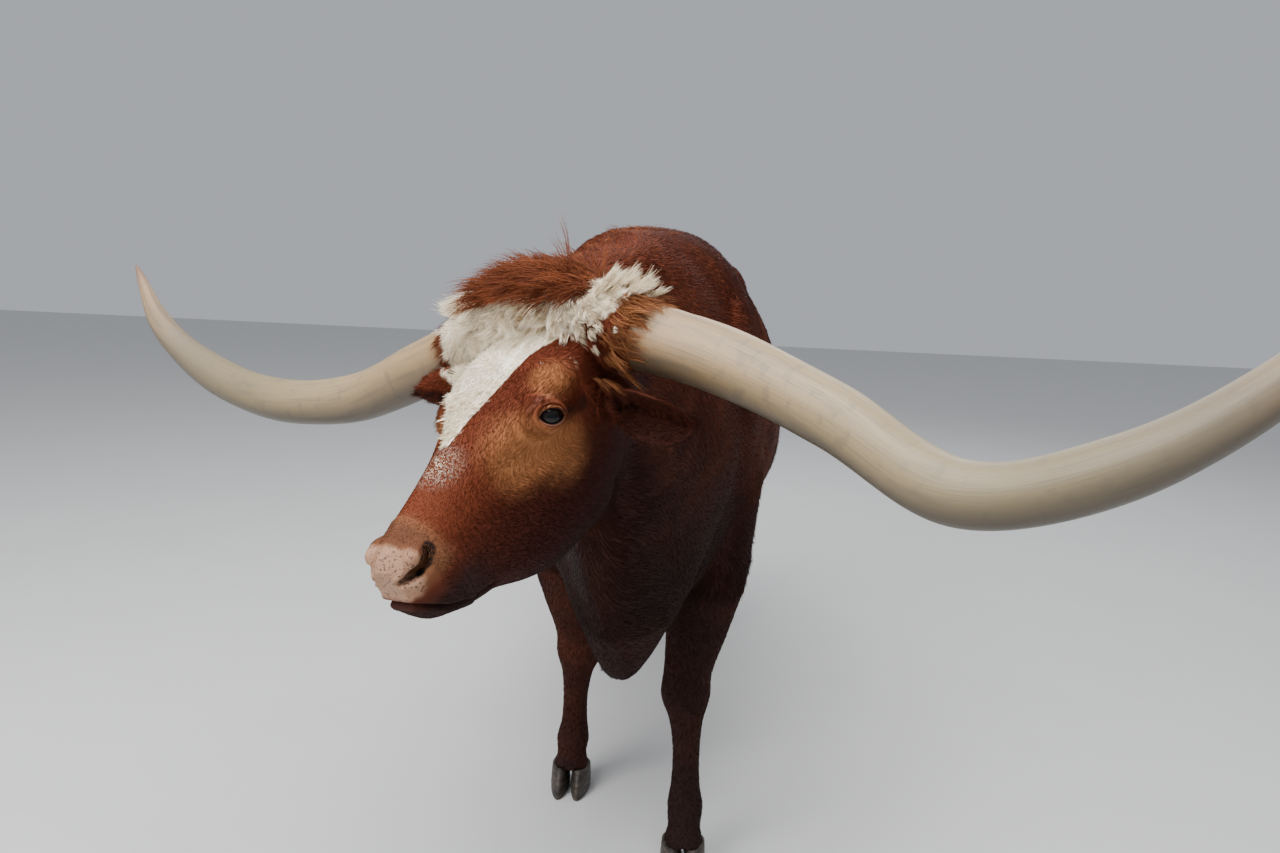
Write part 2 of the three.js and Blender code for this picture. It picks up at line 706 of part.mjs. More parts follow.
for (const { side: name, hand, hornAxis } of sides) {
  const boss = hornBoss(hornAxis).intersect(bossCut(hornAxis)[0]);
  const base = cutBy(boss.add(rootHair(hornAxis, hand)), [horn(hornAxis, seam), earRoom(hand)]);
  model.add(node(`horn_base_${name}`, inBody(base), longHair));
  model.add(node(`horn_${name}`, inBody(horn(hornAxis)), hornKeratin));
  model.add(node(`ear_${name}`, inBody(ear(hand)), redCoat));
  model.add(node(`eye_${name}`, inBody(ball(hand)), wetEye));
}

const foreCut = { inner: [40, 600], outer: [280, 790] };
const hindCut = { inner: [30, 720], outer: [280, 930] };
const feet = [
  { name: "fore", side: "left", hand: 1, footY: -foreStride, topY: 10, rows: foreRows, cut: foreCut },
  { name: "fore", side: "right", hand: -1, footY: foreStride, topY: 60, rows: foreRows, cut: foreCut },
  { name: "hind", side: "left", hand: 1, footY: hindFootY + hindStride, topY: hindFootY, rows: hindRows, cut: hindCut },
  { name: "hind", side: "right", hand: -1, footY: hindFootY - hindStride, topY: hindFootY, rows: hindRows, cut: hindCut },
];

let torso = frontAndTrunk.intersect(trunkBehind);
for (const foot of feet) {
  const { inner, outer } = foot.cut;
  const point = new THREE.Vector3(foot.hand * inner[0], 0, inner[1]);
  const downAndOut = new THREE.Vector3(foot.hand * (outer[1] - inner[1]), 0, inner[0] - outer[0]);
  const [below, above] = bothSides(point, downAndOut);
  const flesh = cutBy(leg(foot).intersect(below), [dewclaw(foot, true, seam), dewclaw(foot, false, seam)]);
  model.add(node(`${foot.name}leg_${foot.side}`, flesh, redCoat));
  torso = torso.add(leg(foot).intersect(above)).subtract(leg(foot, seam).subtract(above));
  for (const inner of [true, false]) {
    const end = `${foot.name}_${foot.side}_${inner ? "inner" : "outer"}`;
    model.add(node(`claw_${end}`, claw(foot.hand, inner, foot.footY), hoofKeratin));
    model.add(node(`dewclaw_${end}`, dewclaw(foot, inner), hoofKeratin));
  }
}
model.add(node("torso", torso.subtract(dock(seam)), redCoat));

const [belowUpper, aboveUpper] = tailCut(0.36);
const [belowMiddle, aboveMiddle] = tailCut(0.68);
model.add(node("tail_upper", dock().intersect(aboveUpper), redCoat));
model.add(node("tail_middle", dock().intersect(belowUpper).intersect(aboveMiddle), redCoat));
model.add(node("tail_switch", joined([dock(), switchCore(), switchLocks()]).intersect(belowMiddle), longHair));

// The frame's origin is under the middle of the model, on the floor
const extent = new THREE.Box3().setFromObject(model);
const middle = extent.getCenter(new THREE.Vector3());
model.position.set(-middle.x, -middle.y, -extent.min.z);

export default model;
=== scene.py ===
import math
import bpy
import numpy as np
from mathutils import Matrix, Vector
from mathutils.bvhtree import BVHTree


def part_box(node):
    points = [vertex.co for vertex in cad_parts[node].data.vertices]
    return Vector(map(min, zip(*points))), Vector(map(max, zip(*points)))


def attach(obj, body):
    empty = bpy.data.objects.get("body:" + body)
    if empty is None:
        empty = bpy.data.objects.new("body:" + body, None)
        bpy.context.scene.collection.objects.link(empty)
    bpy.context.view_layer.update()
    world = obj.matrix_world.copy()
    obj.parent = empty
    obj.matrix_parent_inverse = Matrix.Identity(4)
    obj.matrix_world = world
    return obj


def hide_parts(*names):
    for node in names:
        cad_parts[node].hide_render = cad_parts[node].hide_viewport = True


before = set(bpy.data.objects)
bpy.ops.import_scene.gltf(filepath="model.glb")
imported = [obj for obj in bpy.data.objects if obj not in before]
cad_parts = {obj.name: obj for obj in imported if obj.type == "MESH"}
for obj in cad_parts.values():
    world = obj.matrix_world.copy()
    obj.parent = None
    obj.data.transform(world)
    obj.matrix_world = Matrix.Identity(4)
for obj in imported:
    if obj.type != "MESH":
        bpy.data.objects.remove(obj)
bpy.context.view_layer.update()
print("frame loaded")

# Pose and sizes in millimetres in the body's frame, which faces -Y; shift puts it in the frame of the solids
pose = {"poll": (-103, -626, 1282), "pitch": 31, "roll": -9, "yaw": -27.3, "eyeRadius": 22.5, "footSpread": 150}
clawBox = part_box("claw_fore_left_outer")
shift = np.array([clawBox[1][0] - 0.201, clawBox[1][1] + 0.15554, 0.0])  # corner of a sole, measured in both frames


def turnMatrix(angle, axis):
    return np.array(Matrix.Rotation(math.radians(angle), 3, axis))


headTurn = turnMatrix(pose["yaw"], "Z") @ turnMatrix(pose["pitch"], "X") @ turnMatrix(pose["roll"], "Y")


def fromHead(points):  # head's frame to body's frame: turned, then moved to the poll
    return np.asarray(points, float) @ headTurn.T + np.array(pose["poll"], float)


def toHead(points):  # body's frame to head's frame
    return (np.asarray(points, float) - np.array(pose["poll"], float)) @ headTurn


def placed(points):  # body's frame in millimetres to the scene in metres
    return np.asarray(points, float) / 1000 + shift


def unplaced(points):
    return (np.asarray(points, float) - shift) * 1000


# Shapes as arrays


def stations(rows, places):  # cubic through each row, with the slope from its two neighbours
    rows = np.array(rows, float)
    x, v = rows[:, 0], rows[:, 1:]
    order = np.arange(len(x))
    before, after = np.maximum(order - 1, 0), np.minimum(order + 1, len(x) - 1)
    slope = (v[after] - v[before]) / (x[after] - x[before])[:, None]
    places = np.atleast_1d(np.asarray(places, float))
    k = np.clip(np.searchsorted(x, places, side="right") - 1, 0, len(x) - 2)
    span = (x[k + 1] - x[k])[:, None]
    t = (places - x[k])[:, None] / span
    p, q, m, n = v[k], v[k + 1], slope[k] * span, slope[k + 1] * span
    return p + t * m + t**2 * (3 * (q - p) - 2 * m - n) + t**3 * (2 * (p - q) + m + n)


def rounded(turn, power):  # superellipse: cosine and sine raised to 2 / power, signs kept
    c, s = np.cos(turn), np.sin(turn)
    return np.sign(c) * np.abs(c) ** (2 / power), np.sign(s) * np.abs(s) ** (2 / power)


def turnsOf(count):
    return np.arange(count) / count * 2 * np.pi


def tubeMesh(grid):  # rings along, points around, closed with a fan at each end
    along, around = grid.shape[:2]
    points = np.concatenate([grid.reshape(-1, 3), grid[0].mean(0)[None], grid[-1].mean(0)[None]])
    r, i = np.meshgrid(np.arange(along - 1), np.arange(around), indexing="ij")
    a, b = r * around + i, r * around + (i + 1) % around
    quads = np.stack([a, b, b + around, a + around], -1).reshape(-1, 4)
    i = np.arange(around)
    j = (i + 1) % around
    first, last = len(points) - 2, len(points) - 1
    base = (along - 1) * around
    fans = np.concatenate([
        np.stack([np.full(around, first), j, i], -1),
        np.stack([np.full(around, last), base + i, base + j], -1),
    ])
    return points, quads, fans


def outward(points, quads, fans):  # turns the faces round where their volume is negative
    tris = np.concatenate([quads[:, [0, 1, 2]], quads[:, [0, 2, 3]], fans])
    a, b, c = points[tris[:, 0]], points[tris[:, 1]], points[tris[:, 2]]
    if np.einsum("ij,ij->", a - points.mean(0), np.cross(b - points.mean(0), c - points.mean(0))) < 0:
        return quads[:, ::-1], fans[:, ::-1]
    return quads, fans


def splinePoints(points, perSpan, closed=False):
    # centripetal cubic through points, shape (count, 3) or (rings, count, 3)
    p = np.asarray(points, float)
    count = p.shape[-2]
    if closed:
        ext = np.concatenate([p[..., -1:, :], p, p[..., :2, :]], -2)
        spans = count
    else:
        ext = np.concatenate([2 * p[..., :1, :] - p[..., 1:2, :], p, 2 * p[..., -1:, :] - p[..., -2:-1, :]], -2)
        spans = count - 1
    x0, x1, x2, x3 = (ext[..., k:k + spans, :] for k in range(4))
    pairs = ((x0, x1), (x1, x2), (x2, x3))
    gap = [np.maximum(np.linalg.norm(b - a, axis=-1, keepdims=True) ** 0.5, 1e-4) for a, b in pairs]
    m = ((x1 - x0) / gap[0] - (x2 - x0) / (gap[0] + gap[1]) + (x2 - x1) / gap[1]) * gap[1]
    n = ((x2 - x1) / gap[1] - (x3 - x1) / (gap[1] + gap[2]) + (x3 - x2) / gap[2]) * gap[1]
    t = (np.arange(perSpan) / perSpan)[:, None]
    x1, x2, m, n = (v[..., :, None, :] for v in (x1, x2, m, n))
    out = x1 + t * m + t**2 * (3 * (x2 - x1) - 2 * m - n) + t**3 * (2 * (x1 - x2) + m + n)
    out = out.reshape(*p.shape[:-2], spans * perSpan, 3)
    return out if closed else np.concatenate([out, p[..., -1:, :]], -2)


def curveAt(points, shares):  # places and directions at shares of the curve's length
    line = splinePoints(points, 80)
    length = np.concatenate([[0], np.cumsum(np.linalg.norm(np.diff(line, axis=0), axis=1))])
    at = lambda s: np.stack([np.interp(np.asarray(s) * length[-1], length, line[:, k]) for k in range(3)], -1)
    shares = np.asarray(shares, float)
    tangent = at(np.clip(shares + 0.004, 0, 1)) - at(np.clip(shares - 0.004, 0, 1))
    return at(shares), tangent / np.linalg.norm(tangent, axis=-1, keepdims=True), length[-1]


def sweptGrid(points, shares, around, ovals, up):  # an oval of two half widths carried along a curve
    centre, tangent, _ = curveAt(points, shares)
    across = np.cross(tangent, up)
    across /= np.linalg.norm(across, axis=1, keepdims=True)
    lift = np.cross(across, tangent)
    turn = turnsOf(around)
    a, b = ovals[:, 0, None, None], ovals[:, 1, None, None]
    out, rise = np.cos(turn)[None, :, None], np.sin(turn)[None, :, None]
    return centre[:, None] + across[:, None] * a * out + lift[:, None] * b * rise


def ballGrid(place, half, turnX=0.0, turnZ=0.0, around=48, high=32):
    v = np.linspace(0.02, np.pi - 0.02, high)[:, None]
    u = turnsOf(around)[None]
    p = np.stack([np.sin(v) * np.cos(u), np.sin(v) * np.sin(u), np.cos(v) + 0 * u], -1) * np.array(half, float)
    p = p @ turnMatrix(math.degrees(turnX), "X").T @ turnMatrix(math.degrees(turnZ), "Z").T
    return p + np.array(place, float)


def makeObject(name, points, quads=None, fans=None):
    mesh = bpy.data.meshes.new(name)
    groups = [g for g in (quads, fans) if g is not None and len(g)]
    corners = np.concatenate([g.ravel() for g in groups]).astype(np.int32)
    sizes = np.concatenate([np.full(len(g), g.shape[1]) for g in groups]).astype(np.int32)
    starts = np.concatenate([[0], np.cumsum(sizes)[:-1]]).astype(np.int32)
    mesh.vertices.add(len(points))
    mesh.vertices.foreach_set("co", np.asarray(points, np.float32).ravel())
    mesh.loops.add(len(corners))
    mesh.loops.foreach_set("vertex_index", corners)
    mesh.polygons.add(len(sizes))
    mesh.polygons.foreach_set("loop_start", starts)
    mesh.update(calc_edges=True)
    mesh.validate()
    mesh.shade_smooth()
    piece = bpy.data.objects.new(name, mesh)
    bpy.context.scene.collection.objects.link(piece)
    return piece


def meshArrays(mesh):
    points = np.empty(len(mesh.vertices) * 3, np.float32)
    mesh.vertices.foreach_get("co", points)
    return points.reshape(-1, 3).astype(float)


# The flesh, by the same sections as the solids but finer
body = {
    "trunk": [
        [-330, 1120, 640, 70, 860, 2], [-250, 1250, 600, 165, 880, 2.1], [-140, 1375, 600, 225, 920, 2.3],
        [0, 1434, 620, 262, 960, 2.6], [160, 1438, 640, 292, 950, 2.5], [350, 1420, 625, 335, 930, 2.2],
        [560, 1405, 592, 366, 900, 2.1], [780, 1405, 588, 364, 905, 2.1], [960, 1416, 650, 325, 980, 2.1],
        [1110, 1425, 760, 285, 1080, 2.1], [1260, 1405, 860, 235, 1140, 2.1], [1380, 1350, 960, 165, 1170, 2],
        [1450, 1270, 1080, 85, 1180, 2],
    ],
    "skull": [
        [-60, -20, 60, -40, 75, -100, 55, -170, -200], [0, 8, 80, -8, 100, -75, 62, -190, -235],
        [60, 10, 104, -8, 118, -80, 72, -215, -265], [120, 6, 116, -14, 124, -86, 84, -240, -304],
        [185, 0, 114, -20, 116, -92, 84, -254, -320], [235, -6, 101, -32, 104, -100, 78, -262, -324],
        [295, -14, 72, -40, 86, -115, 70, -262, -316], [355, -22, 52, -50, 72, -120, 60, -246, -288],
        [420, -34, 42, -60, 62, -122, 53, -214, -246], [472, -46, 41, -68, 58, -118, 50, -196, -225],
        [506, -54, 39, -75, 56, -118, 45, -184, -208], [532, -64, 34, -82, 46, -120, 37, -170, -190],
        [551, -82, 22, -92, 28, -120, 22, -148, -161],
    ],
    "foreLeg": [
        [62, 0, -34, 47, 46, 44], [94, 0, -24, 39, 38, 38], [128, 0, -8, 43, 41, 45], [172, 2, 0, 35, 34, 38],
        [250, 4, 0, 33, 34, 35], [318, 8, 0, 41, 41, 40], [372, 12, 0, 58, 53, 47], [430, 9, 0, 58, 52, 50],
        [520, -6, 4, 74, 66, 64], [640, -14, 8, 102, 90, 92], [780, -14, 14, 120, 112, 118], [930, -10, 10, 134, 138, 136],
        [1060, 16, 10, 96, 120, 120],
    ],
    "hindLeg": [
        [62, 0, -34, 45, 44, 42], [94, 0, -24, 38, 37, 37], [128, 0, -8, 42, 41, 45], [172, 0, 0, 34, 34, 38],
        [260, 0, 6, 31, 34, 36], [400, 0, 22, 33, 38, 40], [480, 0, 38, 41, 48, 50], [550, 0, 46, 50, 58, 74],
        [610, 0, 40, 50, 66, 88], [680, 2, 6, 60, 92, 96], [780, 4, -56, 84, 150, 140], [880, 4, -90, 104, 205, 182],
        [1000, 14, -90, 122, 235, 215], [1150, 30, -80, 120, 220, 210],
    ],
    "tail": [
        [0, 1345, 1352], [0, 1425, 1345], [2, 1482, 1240], [5, 1488, 1020],
        [8, 1480, 780], [10, 1478, 560], [10, 1480, 360],
    ],
    "dock": [[0, 42], [0.12, 37], [0.3, 27], [0.55, 20], [0.75, 15], [1, 12]],
    "ear": [[0, 22], [0.18, 31], [0.45, 46], [0.7, 44], [0.9, 28], [1, 7]],
    "leftEar": [[92, -96, -120], [160, -110, -128], [222, -121, -140], [276, -124, -152]],
    "rightEar": [[-92, -96, -112], [-158, -124, -88], [-214, -144, -68], [-260, -152, -52]],
}
feet = [
    {"end": "fore_left", "hand": 1, "footY": -160, "topY": 10, "rows": "foreLeg"},
    {"end": "fore_right", "hand": -1, "footY": 160, "topY": 60, "rows": "foreLeg"},
    {"end": "hind_left", "hand": 1, "footY": 1310, "topY": 1250, "rows": "hindLeg"},
    {"end": "hind_right", "hand": -1, "footY": 1190, "topY": 1250, "rows": "hindLeg"},
]
horns = {
    "left": [
        [129, -35, -26], [319, -67, -75], [506, -129, -134], [695, -215, -191],
        [878, -200, -160], [1050, -140, -75], [1195, -30, 55],
    ],
    "right": [
        [-130, -33, -18], [-317, -71, -60], [-502, -105, -97], [-699, -132, -78],
        [-882, -120, -20], [-1048, -75, 83], [-1181, 22, 199],
    ],
    "radius": [[0, 57], [0.17, 52], [0.34, 47], [0.5, 44], [0.68, 38], [0.85, 24], [0.96, 11], [1, 3]],
    "skirtReach": {"left": 0.05, "right": 0.075},
}


def trunkGrid():
    y = np.linspace(-330, 1450, 200)
    top, belly, half, widest, square = stations(body["trunk"], y).T[:, :, None]
    turn = turnsOf(180)[None]
    upper = np.sin(turn) > 0
    across, rise = rounded(turn, np.where(upper, square, 2.2))
    z = widest + rise * np.where(upper, top - widest, widest - belly)
    return np.stack([half * across, np.broadcast_to(y[:, None], across.shape), z], -1)


def neckGrid():
    nape, throat = fromHead([0, 30, 2]), fromHead([0, -108, -280])
    rows = [
        [0, 0, 120, 1420, 0, -40, 660, 258, 0.1], [1, 0, -10, 1434, 0, -215, 545, 246, 0.42],
        [2, -5, -120, 1426, -2, -318, 492, 212, 0.5], [3, -22, -245, 1424, -12, -410, 610, 178, 0.5],
        [4, -50, -375, 1400, -32, -490, 770, 150, 0.4], [5, -80, -500, 1364, -58, -540, 900, 130, 0.25],
        [6, *nape, *throat, 108, 0.05], [7, *fromHead([0, -45, -12]), *fromHead([0, -160, -275]), 92, 0.05],
    ]
    place = np.linspace(0, 7, 160)
    at = stations(rows, place)
    top, bottom = at[:, 0:3], at[:, 3:6]
    half, narrowing = at[:, 6][:, None], at[:, 7][:, None]
    middle = top + 0.45 * (bottom - top)
    share = np.minimum(1, place / 6)[:, None]
    across = (1 - share) * np.array([1.0, 0, 0]) + share * headTurn[:, 0]
    across /= np.linalg.norm(across, axis=1, keepdims=True)
    turn = turnsOf(150)[None]
    upper = np.sin(turn) > 0
    out, rise = rounded(turn, np.where(upper, 2.4, 2.3))
    width = half * np.where(upper, 1, 1 - narrowing * np.abs(rise) ** 1.4)
    end = np.where(upper[..., None], top[:, None], bottom[:, None])
    lift = np.abs(rise)[..., None]
    return middle[:, None] * (1 - lift) + end * lift + across[:, None] * (out * width)[..., None]


def skullGrid():
    toNose = np.concatenate([np.linspace(-60, 480, 150), np.linspace(484, 551, 40)])
    top, brow, browZ, cheek, cheekZ, jaw, jawZ, bottom = stations(body["skull"], toNose).T
    none = np.zeros_like(top)
    x = np.stack([none, brow, cheek, jaw, none, -jaw, -cheek, -brow], -1)
    z = np.stack([top, browZ, cheekZ, jawZ, bottom, jawZ, cheekZ, browZ], -1)
    outline = np.stack([x, np.broadcast_to(-toNose[:, None], x.shape), z], -1)
    return fromHead(splinePoints(outline, 16, closed=True))


def legGrid(foot):
    rows = body[foot["rows"]]
    z = np.linspace(rows[0][0], rows[-1][0], 220)
    inward, back, half, ahead, behind = stations(rows, z).T[:, :, None]
    lean = np.minimum(1, (z - 62) / 838)[:, None]
    y = foot["footY"] + (foot["topY"] - foot["footY"]) * lean + back
    out, along = rounded(turnsOf(72)[None], 2.2)
    reach = np.where(along < 0, ahead, behind)
    x = foot["hand"] * (pose["footSpread"] - inward) + half * out
    return np.stack([x, y + along * reach, np.broadcast_to(z[:, None], x.shape)], -1)


def earGrid(hand):
    axis = body["leftEar"] if hand > 0 else body["rightEar"]
    share = np.linspace(0, 1, 70)
    centre, tangent, _ = curveAt(axis, share)
    front = np.array([hand * 0.15, -0.93, 0.1])
    upward = np.cross(tangent, front / np.linalg.norm(front))
    upward /= np.linalg.norm(upward, axis=1, keepdims=True)
    ahead = np.cross(upward, tangent) * hand
    width = stations(body["ear"], share)
    turn = turnsOf(72)[None]
    a, s = np.cos(turn), np.sin(turn)
    cup = np.clip((share[:, None] - 0.12) / 0.25, 0, 1) * np.clip((1.02 - share[:, None]) / 0.2, 0, 1)
    thick = 11 - 4 * share[:, None]
    hollow = np.clip(2 * thick * s - 4.5, 0, 17 * cup * np.clip(1 - (a / 0.9) ** 2, 0, 1))
    depth = 0.45 * width * a**2 + thick * s - hollow
    return fromHead(centre[:, None] + upward[:, None] * (width * a)[..., None] + ahead[:, None] * depth[..., None])


def bossGrid(side):
    axis = horns[side]
    ends, tangents, _ = curveAt(axis, [0, horns["skirtReach"][side]])
    path = [ends[0] - 90 * tangents[0], ends[0], ends[1]]
    share = np.linspace(0, 1, 40)
    half = 74 - 14 * share**2
    return fromHead(sweptGrid(path, share, 72, np.stack([half, half], -1), [0, 0, 1]))


def fleshGrids():
    grids = [trunkGrid(), neckGrid(), skullGrid()]
    grids += [legGrid(foot) for foot in feet]
    for hand in (-1, 1):
        grids += [
            ballGrid([hand * 196, -10, 1005], [88, 175, 300], 0.25),
            ballGrid([hand * 150, 1050, 1250], [123, 200, 122]),
            ballGrid([hand * 86, 1345, 1220], [80, 112, 98]),
            fromHead(ballGrid([hand * 81, -224, -53], [42, 52, 38], 0, hand * 0.2)),
            fromHead(ballGrid([hand * 34, -505, -84], [18, 30, 21], 0, hand * 0.3)),
            fromHead(ballGrid([hand * 104, -94, -114], [34, 40, 38])),
            fromHead(ballGrid([hand * 60, -195, -205], [34, 92, 84])),
            fromHead(ballGrid([hand * 99, -226, -55], [28, 29, 27])),
            earGrid(hand),
        ]
    grids += [bossGrid("left"), bossGrid("right"), fromHead(ballGrid([-3, -12, 24], [108, 60, 56]))]
    share = np.linspace(0, 0.9, 90)
    dock = stations(body["dock"], share)
    grids.append(sweptGrid(body["tail"], share, 40, np.repeat(dock, 2, 1), [1, 0, 0]))
    share = np.linspace(0.66, 0.97, 50)
    core = stations([[0.66, 12], [0.74, 20], [0.84, 25], [0.93, 18], [1, 6]], share)
    grids.append(sweptGrid(body["tail"], share, 40, np.repeat(core, 2, 1), [1, 0, 0]))
    return grids


skinSettings = {
    "voxel": 0.0045, "headStretch": ([0, 0.40, 0.62, 6], [0, 0.64, 0.91, 6.29]), "headMiddle": (0, -250, -120),
    "rounds": 30, "easeRounds": 90, "finalTriangles": 185000,
}


def joinedMesh(grids):
    allPoints, allQuads, allFans, count = [], [], [], 0
    for grid in grids:
        points, quads, fans = tubeMesh(grid)
        quads, fans = outward(points, quads, fans)
        allPoints.append(points)
        allQuads.append(quads + count)
        allFans.append(fans + count)
        count += len(points)
    return np.concatenate(allPoints), np.concatenate(allQuads), np.concatenate(allFans)


def stretched(points, back=False):  # distances from the head's middle are stretched, so the head gets finer cells
    middle = placed(fromHead([skinSettings["headMiddle"]]))[0]
    away = points - middle
    reach = np.linalg.norm(away, axis=1, keepdims=True)
    near, far = skinSettings["headStretch"]
    goal = np.interp(reach, far, near) if back else np.interp(reach, near, far)
    return middle + away * (goal / np.maximum(reach, 1e-9))


def bakedModifiers(piece):  # the piece's mesh after its modifiers, which are then dropped
    graph = bpy.context.evaluated_depsgraph_get()
    mesh = bpy.data.meshes.new_from_object(piece.evaluated_get(graph))
    old = piece.data
    piece.modifiers.clear()
    piece.data = mesh
    bpy.data.meshes.remove(old)
    return mesh


def vertexNormals(mesh):
    normals = np.empty(len(mesh.vertices) * 3, np.float32)
    mesh.vertex_normals.foreach_get("vector", normals)
    return normals.reshape(-1, 3).astype(float)


def towardsNeighbours(points, edges):  # from each point to the mean of the points that its edges lead to
    first, second = edges.T
    count = np.maximum(np.bincount(edges.ravel(), minlength=len(points)), 1)[:, None]
    total = np.stack([
        np.bincount(first, points[second, c], len(points)) + np.bincount(second, points[first, c], len(points))
        for c in range(3)
    ], -1)
    return total / count - points


def relaxed(points, edges, strength, rounds):  # each point moves towards its neighbours, then part way back
    for k in range(rounds * 2):
        factor = 0.55 if k % 2 == 0 else -0.50
        points = points + towardsNeighbours(points, edges) * factor * strength[:, None]
    return points


def eased(points, edges, rounds):  # plain smoothing where legs, shoulders, hips and neck grow out of the trunk
    x, y, z = np.abs(points[:, 0]), points[:, 1], points[:, 2]
    share = bell(y, 0, 190) * bell(z, 930, 170) * (x > 60)
    share = np.maximum(share, bell(y, 1210, 260) * bell(z, 1170, 210))
    share = np.maximum(share, bell(y, -30, 110) * bell(z, 1150, 260) * (x > 60))
    share = np.clip(share * 1.3, 0, 1) * (z > 620)
    edges = edges[share[edges].max(1) > 0.05]
    strength = np.where(share > 0.05, share * 0.7, 0)[:, None]
    for _ in range(rounds):
        points = points + towardsNeighbours(points, edges) * strength
    return points


def headShare(head):  # 1 on the head, 0 behind the ears, for points in the head's frame
    return np.clip((-head[:, 1] + 20) / 60, 0, 1) * np.clip((620 + head[:, 1]) / 20, 0, 1)


eyes = {"left": (99, -226, -55), "right": (-99, -226, -55), "half": (18.5, 12.0), "reach": (42, 36)}


def eyeAxes(hand):  # the way the eye looks, its long way towards the ear, and its high way
    out = np.array([hand * 0.84, -0.46, 0.24])
    out /= np.linalg.norm(out)
    long = np.array([hand * 0.42, 0.86, -0.52])
    long -= long @ out * out
    long /= np.linalg.norm(long)
    high = np.cross(out, long)
    if high[2] < 0:
        high = -high
    return out, long, high


def bell(value, middle, width):  # smooth hump of height 1
    return np.exp(-(((value - middle) / width) ** 2))


def sculpted(head, normal):  # moves points of the head, in millimetres along their normals, for its folds and hollows
    move = np.zeros(len(head))
    x, toNose, z = np.abs(head[:, 0]), -head[:, 1], head[:, 2]
    on = (toNose > 60) & (toNose < 580)
    move += on * -3.0 * bell(toNose, 300, 55) * bell(z, -90, 26)  # hollow before the eye
    move += on * 3.5 * bell(toNose, 270, 70) * bell(z, -128, 14) * (x > 40)  # cheek bone
    move += on * -4.5 * bell(toNose, 360, 70) * bell(z, -165, 30) * (x > 35)  # hollow of the cheek
    move += on * 4.0 * bell(toNose, 225, 60) * bell(z, -215, 60) * (x > 50)  # jaw muscle
    move += on * 2.5 * bell(toNose, 205, 30) * bell(z, -20, 14) * bell(x, 84, 26)  # brow
    move += on * -2.0 * bell(toNose, 150, 34) * bell(z, -52, 18) * (x > 70)  # hollow above and behind the eye
    # mouth: the groove between the lips, with a full lip above and below
    line = mouthHeight(toNose)
    near = (toNose > 415) & (z < -120)
    fade = np.clip((toNose - 415) / 25, 0, 1)
    move += near * fade * (-9 * bell(z, line, 3.4) + 2.5 * bell(z, line + 9, 6) + 3.0 * bell(z, line - 9, 6))
    return move[:, None] * normal


def mouthHeight(toNose):  # height of the slit between the lips in the head's frame
    return np.interp(toNose, [415, 430, 474, 514, 538, 551], [-212, -214, -203, -176, -152, -140])


# the dark spots are painted shade inside the nostrils
nostril = {"line": [(26, -549, -101), (36, -541, -100), (46, -527, -96), (53, -513, -89), (53, -502, -79)],
           "half": [4, 7.5, 10.5, 10, 6], "depth": 30,
           "dark": [(30, -530, -98, 10), (38, -520, -97, 13), (44, -507, -92, 14), (47, -495, -84, 13)]}


def nostrilHollow(head, normal):  # pushes the skin in along a comma, deepest in its middle, with a rim around it
    folded = np.abs(head) * [1, 0, 0] + head * [0, 1, 1]
    line = splinePoints(nostril["line"], 12)
    half = np.interp(np.linspace(0, 1, len(line)), np.linspace(0, 1, len(nostril["half"])), nostril["half"])
    near = np.flatnonzero((folded[:, 0] > 5) & (folded[:, 1] < -460) & (folded[:, 2] > -150) & (folded[:, 2] < -30))
    gap = np.linalg.norm(folded[near][:, None] - line[None], axis=2)
    k = gap.argmin(1)
    ratio = gap[np.arange(len(near)), k] / half[k]
    deep = np.clip(1.15 - ratio, 0, 1)
    deep = deep * deep * (3 - 2 * deep)
    rim = bell(ratio, 1.8, 0.6) * 2.0
    moved = head.copy()
    inside = np.array([-0.35, 0.88, -0.12]) * np.where(head[near][:, 0:1] < 0, [-1, 1, 1], [1, 1, 1])
    moved[near] += inside * (nostril["depth"] * deep)[:, None] + normal[near] * rim[:, None]
    return moved


def eyeCrater(head):  # the skin behind each eye is set back, to leave room for the ball and lids
    moved = head.copy()
    for hand, side in ((1, "left"), (-1, "right")):
        out, long, high = eyeAxes(hand)
        centre = np.array(eyes[side], float)
        away = head - centre
        a, b, g = away @ long, away @ high, away @ out
        radius = np.sqrt((a / 1.25) ** 2 + b**2)
        share = np.clip(1.25 - radius / 19, 0, 1)
        share = share * share * (3 - 2 * share) * (g > -14)
        goal = -4.0
        moved += out * (np.minimum(goal - g, 0) * share)[:, None]
    return moved


